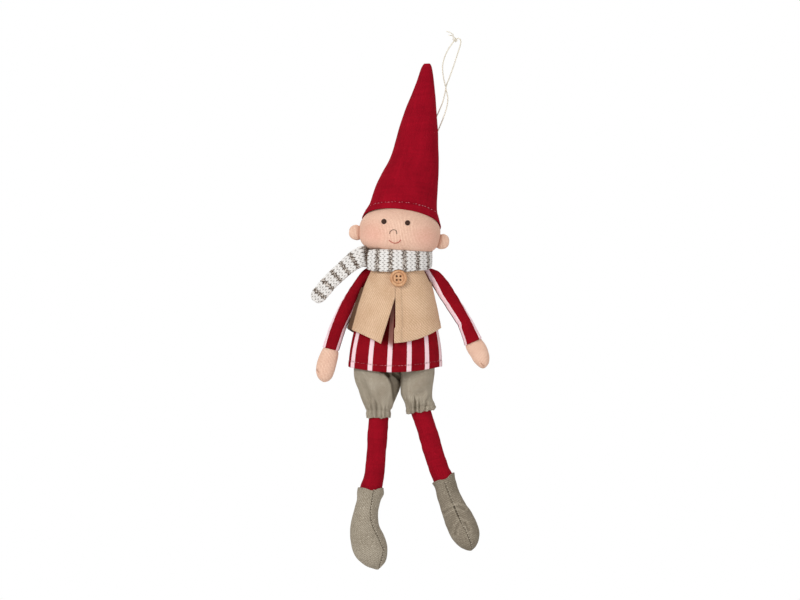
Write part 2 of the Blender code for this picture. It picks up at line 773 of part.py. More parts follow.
def arm_and_hand(arm_name, hand_name):
    rows = [(*row[:4], row[4] * SLEEVE_DEPTH / 2, 0.0, row[5] * SHOULDER_BACK)
            for row in ARM_ROWS[arm_name]]
    rings = [ring(row, ARM_SIDES, power=2.2, y_shift=row[6]) for row in smooth_rows(rows, 2)]
    end = rings[-1]
    end_middle = sum(end, Vector()) / len(end)
    inwards = (sum(rings[-3], Vector()) / len(end) - end_middle).normalized()
    pocket = [shrunk(end, CLOTH), shrunk(end, CLOTH, inwards * SLEEVE_HEM)]
    arm = loft(arm_name, rings + pocket, red_cotton, pink_cotton, stripes=ARM_STRIPES)
    cut(arm, body_room)
    room = loft(arm_name + "_room", [shrunk(points, -ARMHOLE_EASE) for points in rings[:-3]],
                red_cotton, group=tools)
    cut(tunic, as_cutter(room))
    cut(vest, room)

    snug = CLOTH + GAP
    cuff = ring(smooth_rows(rows, 2)[-1][:6], HAND_SIDES, power=2.2)
    wrist = [shrunk(cuff, snug, inwards * (SLEEVE_HEM - GAP)), shrunk(cuff, snug)]
    rows = [(end_middle.x + row[0], end_middle.z + row[1], end_middle.x + row[2],
             end_middle.z + row[3], row[4] * HAND_DEPTH / 2, 0.0)
            for row in HAND_ROWS[hand_name]]
    palm = [ring(row, HAND_SIDES, power=2.1) for row in smooth_rows(rows, 2)]
    tip = end_middle + Vector((HAND_TIPS[hand_name][0], 0.0, HAND_TIPS[hand_name][1]))
    loft(hand_name, wrist + palm, skin_knit, last_tip=tip)


arm_and_hand("left_arm", "left_hand")
arm_and_hand("right_arm", "right_hand")


# Trousers: two puffed legs that meet at the crotch, gathered by elastic into a frill.
# Each row is left edge, right edge, half depth as a share of the seat's, pleat share.

WAIST = -BODY_LENGTH - GAP
TROUSER_ROWS = {
    "left": (
        (-31.4, 0.0, 3.0, 0.0, 0.98, 0.0),
        (-30.3, -16.7, 2.1, -16.6, 1.0, 0.05), (-27.7, -25.6, 1.0, -24.7, 0.94, 0.2),
        (-25.4, -32.1, -1.4, -31.2, 0.82, 0.5), (-23.0, -37.4, -3.4, -37.1, 0.70, 0.9),
    ),
    "right": (
        (-1.2, 0.0, 25.4, 0.0, 0.98, 0.0),
        (2.3, -16.4, 25.0, -15.8, 0.98, 0.05), (1.6, -24.6, 23.9, -24.2, 0.90, 0.2),
        (2.7, -30.2, 23.8, -29.7, 0.82, 0.5), (5.0, -35.6, 24.4, -34.1, 0.72, 0.9),
    ),
}
KNEES = {"left": Vector((-13.5, 0.0, -40.2)), "right": Vector((15.6, 0.0, -37.6))}
KNEE_LEAN = {"left": Vector((0.0, 0.0, -1.0)), "right": Vector((0.16, 0.0, -1.0))}
FRILL_FLARE = 1.0         # frill outside the stocking, cloth and air
LEG_SIDES = GATHERS * 2


def knee_row(middle, lean, half_width, half_depth, pleat):
    """A section square to the leg, with its middle at a given point."""
    across = Vector((-lean.z, 0.0, lean.x)).normalized() * half_width
    left, right = middle - across, middle + across
    return (left.x, left.z, right.x, right.z, half_depth, 0.0, pleat)


def trouser_leg(name, side, group):
    rows = [(row[0], WAIST + row[1], row[2], WAIST + row[3], row[4] * TROUSER_DEPTH / 2, 0.0,
             row[5]) for row in TROUSER_ROWS[side]]
    lean = KNEE_LEAN[side].normalized()
    knee = KNEES[side] + Vector((0, 0, WAIST))
    snug = STOCKING_WIDTH / 2 + GAP, STOCKING_DEPTH / 2 + GAP
    room = CLOTH + GATHER_DEPTH
    elastic = snug[0] + room - 0.2, snug[1] + room - 0.2
    frill = snug[0] + room + FRILL_FLARE * 0.4, snug[1] + room + FRILL_FLARE * 0.4
    rows.append(knee_row(knee, lean, *elastic, 1.0))
    rows.append(knee_row(knee + lean * FRILL_LENGTH / 2, lean, *frill, 1.0))
    rows.append(knee_row(knee + lean * FRILL_LENGTH, lean, *frill, 1.1))
    rings = [ring(row, LEG_SIDES, power=2.2, pleats=GATHERS, pleat_depth=GATHER_DEPTH * row[6])
             for row in smooth_rows(rows, 2)]
    rings += [ring(knee_row(knee + lean * FRILL_LENGTH, lean, *snug, 0.0)[:6], LEG_SIDES),
              ring(knee_row(knee, lean, *snug, 0.0)[:6], LEG_SIDES)]
    return loft(name, rings, grey_linen, group=group)


trousers = trouser_leg("trousers", "left", doll)
other_leg = as_cutter(trouser_leg("other_trouser_leg", "right", tools))
join(trousers, other_leg)


# Stockings: stuffed tubes from the elastic down into the boots

STOCKING_BENDS = {
    "left": ((-14.0, -52.0), (-15.55, -75.4), (-16.8, -86.0)),
    "right": ((19.4, -51.0), (24.6, -68.4), (28.4, -80.4)),
}
ANKLES = {"left": Vector((-18.9, 0.0, -94.3)), "right": Vector((31.5, 0.0, -86.9))}
ANKLE_LEAN = {"left": Vector((-0.02, 0.0, -1.0)), "right": Vector((0.40, 0.0, -1.0))}
CUFF_HALF_WIDTH = {"left": 9.1, "right": 8.2}
CUFF_HALF_DEPTH = 8.2


def stocking(name, side):
    knee_lean = KNEE_LEAN[side].normalized()
    top = KNEES[side] + Vector((0, 0, WAIST)) + knee_lean * GAP
    below = top + knee_lean * FRILL_LENGTH
    lean = ANKLE_LEAN[side].normalized()
    ankle = ANKLES[side] + Vector((0, 0, WAIST))
    half = STOCKING_WIDTH / 2, STOCKING_DEPTH / 2
    inside = CLOTH + GAP
    foot = CUFF_HALF_WIDTH[side] - inside, CUFF_HALF_DEPTH - inside
    middles = [top, below] + [Vector((x, 0.0, WAIST + z)) for x, z in STOCKING_BENDS[side]]
    rows = []
    for i, middle in enumerate(middles):
        ahead = middles[min(i + 1, len(middles) - 1)]
        behind = middles[max(i - 1, 0)]
        aim = knee_lean if i < 2 else ahead - behind
        rows.append(knee_row(middle, aim.normalized(), *half, 0.0))
    rows.append(knee_row(ankle, lean, *foot, 0.0))
    rows.append(knee_row(ankle + lean * (BOOT_CUFF - GAP), lean, *foot, 0.0))
    loft(name, [ring(row, 12) for row in rows], hat_felt)


stocking("left_stocking", "left")
stocking("right_stocking", "right")


# Boots: soft stuffed socks of linen with an open cuff and a rounded, turned toe.
# Each row is left edge, right edge, half depth as a share of the boot's, distance back,
# and starts from the middle of the cuff.

BOOT_ROWS = {
    "left": (
        (-9.6, -4.4, 9.1, -4.4, 0.80, 0.0), (-10.1, -9.2, 6.4, -9.0, 0.80, 0.0),
        (-12.3, -17.3, 4.9, -17.3, 0.88, -0.6), (-14.3, -25.3, 5.8, -26.0, 0.96, -1.6),
        (-14.8, -33.7, 9.0, -33.3, 1.0, -2.4), (-13.3, -42.8, 11.4, -40.0, 0.94, -3.0),
        (-9.1, -50.1, 11.2, -47.0, 0.78, -3.2), (-3.1, -54.8, 9.1, -52.9, 0.50, -3.2),
    ),
    "right": (
        (-6.0, -7.6, 9.0, -1.6, 0.80, 0.0), (-3.8, -14.9, 11.5, -10.6, 0.80, 0.0),
        (-0.6, -24.6, 16.1, -18.6, 0.88, -0.6), (2.7, -35.0, 21.9, -27.7, 0.96, -1.6),
        (6.4, -42.3, 25.2, -36.1, 1.0, -2.4), (11.2, -47.9, 25.1, -43.1, 0.86, -3.0),
        (15.7, -50.7, 23.0, -48.1, 0.54, -3.2),
    ),
}
BOOT_TIPS = {"left": (4.6, -57.4), "right": (19.6, -51.4)}
BOOT_SIDES = 16
CUFF_NOTCH = 1.6          # dip at the front seam of the cuff


def boot(name, side):
    ankle = ANKLES[side] + Vector((0, 0, WAIST))
    lean = ANKLE_LEAN[side].normalized()
    wide, deep = CUFF_HALF_WIDTH[side], CUFF_HALF_DEPTH
    rim_row = knee_row(ankle, lean, wide, deep, 0.0)
    rows = [(*rim_row[:6], 0.0)]
    for row in BOOT_ROWS[side]:
        rows.append((ankle.x + row[0], ankle.z + row[1], ankle.x + row[2], ankle.z + row[3],
                     row[4] * BOOT_DEPTH / 2, 0.0, row[5]))
    rings = [ring(row, BOOT_SIDES, power=2.1, y_shift=row[6]) for row in smooth_rows(rows, 2)]
    rim = notched(rings[0], lean)
    inner = shrunk(ring(rim_row[:6], BOOT_SIDES, power=2.1), CLOTH)
    floor = [p + lean * BOOT_CUFF for p in inner]
    tip = ankle + Vector((BOOT_TIPS[side][0], rows[-1][6], BOOT_TIPS[side][1]))
    rings = [floor, notched(inner, lean), rim] + rings[1:]
    loft(name, rings, grey_linen, last_tip=tip)


def notched(points, lean):
    """The rim with a dip at its front seam."""
    dipped = []
    for k, p in enumerate(points):
        turn = 2 * math.pi * k / len(points)
        share = max(math.sin(turn), 0.0) ** 6
        dipped.append(p + lean * CUFF_NOTCH * share)
    return dipped


boot("left_boot", "left")
boot("right_boot", "right")
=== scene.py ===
import math

import bpy
import numpy as np
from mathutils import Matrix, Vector


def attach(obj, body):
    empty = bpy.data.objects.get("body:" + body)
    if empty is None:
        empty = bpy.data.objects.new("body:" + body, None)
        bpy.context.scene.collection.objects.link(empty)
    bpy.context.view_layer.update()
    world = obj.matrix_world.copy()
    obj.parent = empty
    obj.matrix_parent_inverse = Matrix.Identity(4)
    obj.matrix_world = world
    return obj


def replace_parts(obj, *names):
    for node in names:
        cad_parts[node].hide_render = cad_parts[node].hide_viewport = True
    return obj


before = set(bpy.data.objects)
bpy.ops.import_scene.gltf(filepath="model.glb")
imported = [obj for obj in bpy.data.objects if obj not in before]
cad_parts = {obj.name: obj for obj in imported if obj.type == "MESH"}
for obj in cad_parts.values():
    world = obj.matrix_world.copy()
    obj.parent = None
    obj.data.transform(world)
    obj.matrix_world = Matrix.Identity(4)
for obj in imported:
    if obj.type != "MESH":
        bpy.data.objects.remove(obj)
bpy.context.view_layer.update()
print("stage: frame loaded")

mm = 0.001
neckTop = np.array((-42.2, 0.0, -148.1))  # from the top of the loop, in millimetres
pi = math.pi


# Camera, straight in front of the doll

camera = dict(lens=400, distance=6222, aim=(1.4, -35.0))


def addObject(name, data):
    made = bpy.data.objects.new(name, data)
    bpy.context.scene.collection.objects.link(made)
    return made


def makeCamera():
    data = bpy.data.cameras.new("camera")
    data.lens = camera["lens"]
    eye = addObject("camera", data)
    eye.location = (neckTop + (camera["aim"][0], -camera["distance"], camera["aim"][1])) * mm
    eye.rotation_euler = (pi / 2, 0, 0)
    bpy.context.scene.camera = eye


makeCamera()


# Shader maths: a socket that can be added, multiplied and so on

def operator(operation, swap=False):
    def act(self, *others):
        terms = [self, *others]
        if swap:
            terms.reverse()
        return self.paint.add("ShaderNodeMath", {"operation": operation}, dict(enumerate(terms)))
    return act


class Value:
    def __init__(self, paint, socket):
        self.paint = paint
        self.socket = socket

    __add__ = __radd__ = operator("ADD")
    __sub__ = operator("SUBTRACT")
    __rsub__ = operator("SUBTRACT", swap=True)
    __mul__ = __rmul__ = operator("MULTIPLY")
    __truediv__ = operator("DIVIDE")
    __pow__ = operator("POWER")
    __mod__ = operator("FLOORED_MODULO")
    __gt__ = operator("GREATER_THAN")
    __abs__ = operator("ABSOLUTE")
    sine = operator("SINE")
    floor = operator("FLOOR")

    def ramp(self, low, high):  # 0 below low, 1 above high
        return self.paint.add("ShaderNodeMapRange", {"interpolation_type": "SMOOTHSTEP"},
                              {0: self, 1: low, 2: high, 3: 0.0, 4: 1.0})


class Paint:
    def __init__(self, name, roughness=0.9, sheen=0.0, sheenColour=(1, 1, 1, 1), shine=0.2):
        self.material = bpy.data.materials.new(name)
        self.material.use_nodes = True
        self.tree = self.material.node_tree
        self.shader = self.tree.nodes["Principled BSDF"]
        for socket, value in (("Roughness", roughness), ("Specular IOR Level", shine),
                              ("Sheen Weight", sheen), ("Sheen Roughness", 0.5),
                              ("Sheen Tint", sheenColour)):
            self.shader.inputs[socket].default_value = value

    def add(self, kind, settings=None, values=None, out=0):
        made = self.tree.nodes.new(kind)
        for key, setting in (settings or {}).items():
            setattr(made, key, setting)
        for key, value in (values or {}).items():
            if isinstance(value, Value):
                self.tree.links.new(value.socket, made.inputs[key])
            else:
                made.inputs[key].default_value = value
        return Value(self, made.outputs[out])

    def mark(self, name):  # a value kept on the mesh's points
        return self.add("ShaderNodeAttribute", {"attribute_name": name}, out="Fac")

    def split(self, vector, count=3):
        return [self.add("ShaderNodeSeparateXYZ", None, {0: vector}, out=k) for k in range(count)]

    def cloth(self):  # distances along the cloth in millimetres
        return self.split(self.add("ShaderNodeUVMap", {"uv_map": "cloth"}), 2)

    def spot(self, x, y, z=0.0):
        return self.add("ShaderNodeCombineXYZ", None, {0: x, 1: y, 2: z})

    def noise(self, vector, scale=1.0, detail=2.0, rough=0.5):
        return self.add("ShaderNodeTexNoise", {"noise_dimensions": "3D"},
                        {"Vector": vector, "Scale": scale, "Detail": detail, "Roughness": rough})

    def inSpace(self):
        return self.add("ShaderNodeTexCoord", None, None, out="Object")

    def mix(self, factor, first, second, blend="MIX"):
        return self.add("ShaderNodeMix", {"data_type": "RGBA", "blend_type": blend},
                        {0: factor, 6: first, 7: second}, out=2)

    def finish(self, colour, height=None, bump=0.3, depth=0.3, roughness=None):
        if isinstance(colour, Value):
            self.tree.links.new(colour.socket, self.shader.inputs["Base Color"])
        else:
            self.shader.inputs["Base Color"].default_value = colour
        if height is not None:
            normal = self.add("ShaderNodeBump", None,
                              {"Strength": bump, "Distance": depth * mm, "Height": height})
            self.tree.links.new(normal.socket, self.shader.inputs["Normal"])
        if roughness is not None:
            self.tree.links.new(roughness.socket, self.shader.inputs["Roughness"])
        return self.material


def tone(red, green, blue):  # a colour as the screen shows it, 0 to 255
    return (*[(c / 255 / 12.92) if c < 10 else ((c / 255 + 0.055) / 1.055) ** 2.4
              for c in (red, green, blue)], 1.0)


# Weaves, from distances along the cloth counted in threads

def plainWeave(u, v):
    over = (u.floor() + v.floor()) % 2
    return abs((u * pi).sine()) * over + abs((v * pi).sine()) * (1 - over)


def twillWeave(u, v):  # slanting ridges, cut across by each thread
    ridge = abs(((u - v) * pi).sine())
    return ridge * 0.85 + abs((v * pi * 2).sine()) * 0.15


def jerseyKnit(u, v):
    rib = abs((u * pi).sine())
    return rib * 0.8 + abs(((v + rib * 0.6) * pi).sine()) * 0.2


def threadTint(paint, u, v, pitch):  # each thread a little lighter or darker
    warp = paint.noise(paint.spot(u / pitch, v * 0.05), 1.0, 1.0)
    weft = paint.noise(paint.spot(u * 0.05, v / pitch, 7.0), 1.0, 1.0)
    return warp + weft


def wovenPaint(name, colour, light, dark, pitch, weave, bump=0.5, shine=0.08, flecks=0.0,
               stripe=None, ridge=0.35, slub=0.3, shade=None):
    paint = Paint(name, 0.92, sheenColour=light, shine=shine)
    u, v = paint.cloth()
    height = weave(u / pitch, v / pitch)
    slant = paint.noise(paint.spot((u + v) * 0.5, (u - v) * 1.7), 1.0, 2.0)
    threads = threadTint(paint, u, v, pitch * 1.4) * 0.5
    broad = paint.noise(paint.inSpace(), 90.0, 3.0)
    uneven = (threads * slub + slant * (0.7 - slub) + broad * 0.3).ramp(0.34, 0.66)
    base = paint.mix(uneven, dark, light)
    base = paint.mix(0.5, base, colour)
    # painted shade: the hollows between threads darken as far as ridge says
    base = paint.mix((1 - height) * ridge, base, dark)
    if flecks:
        speck = paint.noise(paint.spot((u + v) * 0.5, (u - v) * 1.3, 5.0), 1.0, 2.0)
        base = paint.mix(speck.ramp(0.56, 0.72) * flecks, base, light)
        base = paint.mix(speck.ramp(0.44, 0.28) * flecks, base, dark)
    if stripe:
        share = paint.mark("stripe")
        edge = paint.noise(paint.spot(u, v), 2.0, 1.0) * stripe["rag"] - stripe["rag"] / 2
        # the pink is lighter on the threads' tops, as painted light, and a little lighter or darker
        # thread by thread
        pale = paint.mix(height * 0.5 + threads * 0.3, stripe["dark"], stripe["light"])
        base = paint.mix((share + edge) > 0.0, base, pale)
    # painted shade: the cloth darkens towards the shade colour as far as the shade mark says, in
    # creases, seams and under other pieces
    deep = paint.mix(1.0, base, shade or dark, "MULTIPLY")
    base = paint.mix(paint.mark("paintedShade") * 0.9, base, deep)
    return paint.finish(base, height + broad * 0.4, bump, 0.25)


# String and sewing threads

def threadPaint(name, light, dark):
    paint = Paint(name, 0.75, 0.2, light)
    fibre = paint.noise(paint.inSpace(), 2600.0, 2.0)
    return paint.finish(paint.mix(fibre.ramp(0.3, 0.7), dark, light), fibre, 0.4, 0.06)


hatRed = dict(colour=tone(150, 8, 31), light=tone(172, 14, 36), dark=tone(112, 2, 18))
stockingRed = {**hatRed, "colour": tone(142, 10, 28)}
shirtRed = dict(colour=tone(150, 10, 26), light=tone(164, 16, 32), dark=tone(96, 2, 14))
stripePink = dict(light=tone(255, 230, 233), dark=tone(246, 204, 212), rag=0.1)
vestBeige = dict(colour=tone(220, 186, 152), light=tone(238, 208, 178), dark=tone(180, 140, 108))
linenGrey = dict(colour=tone(168, 157, 140), light=tone(206, 196, 178), dark=tone(116, 104, 86))

hatTwill = wovenPaint("hatTwill", **hatRed, pitch=1.7, weave=twillWeave)
stockingTwill = wovenPaint("stockingTwill", **stockingRed, pitch=1.5, weave=twillWeave)
shirtCotton = wovenPaint("shirtCotton", **shirtRed, pitch=0.42, weave=plainWeave,
                         stripe=stripePink, shade=tone(142, 92, 66))
vestTwill = wovenPaint("vestTwill", **vestBeige, pitch=1.85, weave=twillWeave, bump=0.8,
                       shine=0.15, ridge=0.75, slub=0.1, flecks=0.25, shade=tone(84, 64, 52))
greyLinen = wovenPaint("greyLinen", **linenGrey, pitch=1.8, weave=twillWeave, bump=0.8,
                       shine=0.15, ridge=0.7, flecks=0.75, slub=0.06)
cordCotton = threadPaint("cordCotton", tone(246, 240, 226), tone(206, 196, 176))
darkThread = threadPaint("darkThread", tone(74, 50, 38), tone(36, 22, 18))
coralThread = threadPaint("coralThread", tone(206, 96, 84), tone(160, 52, 50))
topThread = threadPaint("topThread", tone(244, 160, 170), tone(206, 92, 108))
duskThread = threadPaint("duskThread", tone(120, 40, 52), tone(84, 20, 30))
umberThread = threadPaint("umberThread", tone(104, 92, 76), tone(72, 62, 50))
paleThread = threadPaint("paleThread", tone(222, 213, 196), tone(182, 170, 150))


def skinPaint():
    paint = Paint("skinJersey", 0.9, 0.1, tone(250, 226, 206), 0.12)
    u, v = paint.cloth()
    height = jerseyKnit(u, v / 0.9)
    broad = paint.noise(paint.inSpace(), 70.0, 3.0)
    threads = paint.noise(paint.spot(u * 0.9, v * 0.9), 1.0, 2.0)
    shade = (threads * 0.6 + broad * 0.4).ramp(0.3, 0.7)
    base = paint.mix(shade, tone(230, 190, 166), tone(251, 218, 195))
    # painted shade in the hollows between the knit's loops
    base = paint.mix((1 - height) * 0.9, base, tone(196, 142, 118))
    base = paint.mix(paint.mark("blush") * 0.26, base, tone(238, 150, 136))
    # painted shade in creases and seams, from the shade mark
    base = paint.mix(paint.mark("paintedShade") * 0.7, base, tone(162, 108, 86))
    return paint.finish(base, height + broad * 0.3, 0.7, 0.25)


def woolPaint():
    paint = Paint("woolKnit", 0.95, 0.2, tone(250, 250, 250), 0.1)
    fibre = paint.noise(paint.inSpace(), 1500.0, 2.0)
    marl = paint.noise(paint.inSpace(), 1150.0, 1.0)
    white = paint.mix(fibre, tone(200, 196, 192), tone(250, 247, 243))
    brown = paint.mix(marl.ramp(0.44, 0.62), tone(80, 66, 55), tone(214, 205, 196))
    base = paint.mix(paint.mark("stripe") > 0.0, white, brown)
    # painted shade in the knit's holes and gaps, from the shade mark
    base = paint.mix(paint.mark("paintedShade") * 0.72, base, tone(96, 86, 78))
    return paint.finish(base, fibre, 0.5, 0.15)


def woodPaint():
    paint = Paint("buttonWood", 0.5)
    x, y, z = paint.split(paint.inSpace())
    grain = paint.noise(paint.spot(x * 1400, y * 900, z * 260), 1.0, 3.0)
    rings = paint.noise(paint.spot(x * 330, y * 200, z * 60), 1.0, 1.0)
    base = paint.mix((grain * 0.5 + rings * 0.5).ramp(0.3, 0.7), tone(184, 131, 92),
                     tone(216, 171, 130))
    # painted shade in the groove inside the rim, from the shade mark
    base = paint.mix(paint.mark("paintedShade") * 0.7, base, tone(146, 92, 60))
    return paint.finish(base, grain, 0.25, 0.1, 0.62 - grain * 0.25)


skinJersey = skinPaint()
woolKnit = woolPaint()
buttonWood = woodPaint()
print("stage: paints mixed")


# Forms: smooth rows of sections, and the grids of points that they span

def around(count):  # angles round a ring, from the back past the right side
    return -pi / 2 + 2 * pi * np.arange(count) / count


def bell(distance, width):  # 1 on a line, falling away to both sides of it
    return np.exp(-(distance / width) ** 2)


def past(distance, sharpness):  # 0 before a line, 1 past it
    return 1 / (1 + np.exp(-distance * sharpness))


def smoothRows(rows, steps):
    rows = np.array(rows, float)
    last = len(rows) - 1
    at = np.arange(last * steps + 1) / steps
    i = np.minimum(at.astype(int), last - 1)
    f = (at - i)[:, None]
    a, b = rows[np.maximum(i - 1, 0)], rows[i]
    c, d = rows[i + 1], rows[np.minimum(i + 2, last)]
    return 0.5 * (2 * b + (c - a) * f + (2 * a - 5 * b + 4 * c - d) * f * f
                  + (3 * b - a - 3 * c + d) * f ** 3)


def spread(points, step):  # the same line with points an even step apart
    points = np.asarray(points, float)
    run = np.concatenate([[0.0], np.cumsum(np.linalg.norm(np.diff(points[:, :3], axis=0), axis=1))])
    at = np.linspace(0, run[-1], max(int(round(run[-1] / step)), 2) + 1)
    return np.stack([np.interp(at, run, points[:, k]) for k in range(points.shape[1])], 1)


def evenRows(rows, step):  # rows: left x, z, right x, z, half depth, rise, back
    fine = smoothRows(rows, 24)
    middle = np.stack([(fine[:, 0] + fine[:, 2]) / 2, fine[:, 6], (fine[:, 1] + fine[:, 3]) / 2], 1)
    return spread(np.concatenate([middle, fine], 1), step)[:, 3:]


def ringGrid(rows, sides, power=2.0):  # rings start at the back and pass the right side first
    rows = np.asarray(rows, float)
    turn = around(sides)
    reach = (np.abs(np.cos(turn)) ** power + np.abs(np.sin(turn)) ** power) ** (-1 / power)
    side, front = (reach * np.cos(turn))[None, :, None], (reach * np.sin(turn))[None, :, None]
    left = np.stack([rows[:, 0], rows[:, 6], rows[:, 1]], 1)[:, None]
    right = np.stack([rows[:, 2], rows[:, 6], rows[:, 3]], 1)[:, None]
    forward = np.stack([rows[:, 0] * 0, -rows[:, 4], rows[:, 5]], 1)[:, None]
    return (left + right) / 2 + (right - left) / 2 * side + forward * front


def tube(rows, sides, power=2.0):  # a ring round each row, with its normals and angles
    grid = ringGrid(rows, sides, power)
    return grid, normalsOf(grid), around(sides)


def placed(rows, x, z, depth):  # rows counted from a place, their depths as shares of the piece's
    return [(x + r[0], z + r[1], x + r[2], z + r[3], r[4] * depth, 0.0, (*r, 0.0)[5]) for r in rows]


def unit(vectors):
    return vectors / np.maximum(np.linalg.norm(vectors, axis=-1, keepdims=True), 1e-9)


def normalsOf(grid, closed=True):
    if closed:
        around = np.roll(grid, -1, 1) - np.roll(grid, 1, 1)
    else:
        around = np.gradient(grid, axis=1)
    along = np.gradient(grid, axis=0)
    normal = unit(np.cross(around, along))
    out = ((grid - grid.mean(1, keepdims=True)) * normal).sum(2).mean()
    return normal if out > 0 else -normal


def clothUv(grid, closed=True):  # distances round and along; an open cloth counts from both edges
    wide = np.concatenate([grid, grid[:, :1]], 1) if closed else grid
    steps = np.linalg.norm(np.diff(wide, axis=1), axis=2)
    u = np.concatenate([np.zeros((len(grid), 1)), np.cumsum(steps, 1)], 1)
    if closed:
        u -= u[:, [wide.shape[1] // 2]]
    else:
        u = np.where(np.arange(u.shape[1]) < u.shape[1] // 2, u, u - u[:, -1:])
    down = np.linalg.norm(np.diff(grid, axis=0), axis=2).mean(1)
    v = np.concatenate([[0.0], np.cumsum(down)])[:, None] + u * 0
    return np.stack([u, v], 2)


def hashed(points, seed):
    x, y, z = np.moveaxis(points, -1, 0)
    n = np.sin(x * 127.1 + y * 311.7 + z * 74.7 + seed * 53.3) * 43758.5453
    return n - np.floor(n)


def rumple(points, size, seed):  # smooth noise from -1 to 1, lumps about size wide
    p = points / size
    base = np.floor(p)
    f = p - base
    f = f * f * (3 - 2 * f)
    total = 0.0
    for corner in np.ndindex(2, 2, 2):
        weight = np.abs(1 - np.array(corner) - f).prod(-1)
        total = total + weight * hashed(base + corner, seed)
    return total * 2 - 1


def nearLine(points, line):  # how far from a line of x, z points, and how far along it
    flat = points[..., [0, 2]]
    line = np.array(line, float)
    runs = np.concatenate([[0.0], np.cumsum(np.linalg.norm(np.diff(line, axis=0), axis=1))])
    best, share = np.full(flat.shape[:-1], 1e9), np.zeros(flat.shape[:-1])
    for k in range(len(line) - 1):
        ab = line[k + 1] - line[k]
        t = np.clip(((flat - line[k]) @ ab) / max(ab @ ab, 1e-9), 0, 1)
        away = np.linalg.norm(flat - (line[k] + t[..., None] * ab), axis=-1)
        share = np.where(away < best, (runs[k] + t * (runs[k + 1] - runs[k])) / runs[-1], share)
        best = np.minimum(best, away)
    return best, share


def groove(points, normal, line, width, depth, lip=0.0, side=-1, fade=0.0):
    # a crease on the front (side -1) or the back, drawn as it runs in the picture; it grows
    # from nothing over the first part of the line, as wide as fade says
    near, share = nearLine(points, line)
    facing = np.clip(normal[..., 1] * side * 3, 0, 1)
    grown = np.clip(share / fade, 0, 1) if fade else 1.0
    width = width * (0.6 + 0.4 * grown)
    shape = -depth * bell(near, width)
    if lip:
        shape = shape + lip * bell(near - width * 2, width * 1.2)
    return shape * facing * grown


def pixels(*points):  # places read off the picture, to millimetres from the neck
    return [((x - 398) * 0.7, (250 - y) * 0.7) for x, y in points]


def gridMesh(name, grid, paint, closed=True, joined=False, caps=False, marks=None, uv=None):
    rows, columns = grid.shape[:2]
    uv = clothUv(grid, closed) if uv is None else uv
    wide = columns if closed else columns - 1
    tall = rows if joined else rows - 1
    i, j = np.meshgrid(np.arange(tall), np.arange(wide), indexing="ij")
    i, j = i.ravel(), j.ravel()
    n, m = (i + 1) % rows, (j + 1) % columns
    corners = np.stack([i * columns + j, i * columns + m, n * columns + m, n * columns + j], 1)
    place = np.stack([uv[i, j], uv[i, j + 1], uv[n, j + 1], uv[n, j]], 1)
    points = grid.reshape(-1, 3)
    faces, places = corners.tolist(), [place.reshape(-1, 2)]
    if closed and not joined:
        for row in (0, rows - 1):  # a fan of triangles over each end
            tip = grid[row].mean(0)
            points = np.concatenate([points, tip[None]])
            at = len(points) - 1
            for k in range(columns):
                a, b = row * columns + k, row * columns + (k + 1) % columns
                faces.append([a, at, b] if row == 0 else [a, b, at])
            places.append(np.repeat(uv[row, :columns], 3, 0))
    if caps:  # close a sheet's two free sides, from the outer skin to the inner
        half = rows // 2
        for column in (0, columns - 1):
            for k in range(half - 1):
                a, b = k * columns + column, (k + 1) * columns + column
                c, d = (rows - 2 - k) * columns + column, (rows - 1 - k) * columns + column
                faces.append([a, b, c, d] if column == 0 else [d, c, b, a])
                places.append(np.repeat(uv[[k], column], 4, 0))
    mesh = bpy.data.meshes.new(name)
    mesh.from_pydata((points + neckTop) * mm, [], faces)
    layer = mesh.uv_layers.new(name="cloth")
    layer.uv.foreach_set("vector", np.concatenate(places).astype(np.float32).ravel())
    # marks kept on the points: painted shade, blush and the stripes
    for key in ("paintedShade", "blush", "stripe"):
        values = np.zeros(len(points), np.float32) - (key == "stripe")
        if marks and key in marks:
            values[:rows * columns] = np.broadcast_to(marks[key], (rows, columns)).ravel()
        mesh.attributes.new(key, "FLOAT", "POINT").data.foreach_set("value", values)
    return meshObject(name, mesh, paint)


def meshObject(name, mesh, paint):
    mesh.materials.append(paint)
    mesh.shade_smooth()
    fixFacing(mesh)
    return addObject(name, mesh)


def fixFacing(mesh):  # turn the mesh the right way out
    mesh.calc_loop_triangles()
    points = np.zeros(len(mesh.vertices) * 3)
    mesh.vertices.foreach_get("co", points)
    points = points.reshape(-1, 3)
    corners = np.zeros(len(mesh.loop_triangles) * 3, int)
    mesh.loop_triangles.foreach_get("vertices", corners)
    a, b, c = (points[corners.reshape(-1, 3)[:, k]] for k in range(3))
    if (a * np.cross(b, c)).sum() < 0:
        mesh.flip_normals()


def dress(made, *nodes, slot, fill=None):
    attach(made, "root")
    if nodes:
        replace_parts(made, *nodes)
    return made


def withLip(grid, cloth, depth):  # the cloth turns in at the last ring and runs back inside
    normal = normalsOf(grid)
    step = np.linalg.norm(grid[-1] - grid[-2], axis=1).mean()
    out = unit(grid[-1] - grid[-3])
    rings = [grid[-1] + (out * rise - normal[-1] * turned) * cloth
             for turned, rise in ((0.15, 0.25), (0.5, 0.38), (0.85, 0.25))]
    rings += [grid[-1 - k] - normal[-1 - k] * cloth for k in range(0, int(depth / step) + 1, 2)]
    return np.concatenate([grid, np.stack(rings)])


def longer(marks, grid):  # marks for the rings that withLip added
    extra = len(grid) - len(marks)
    return np.concatenate([marks, np.repeat(marks[-1:], extra, 0)])


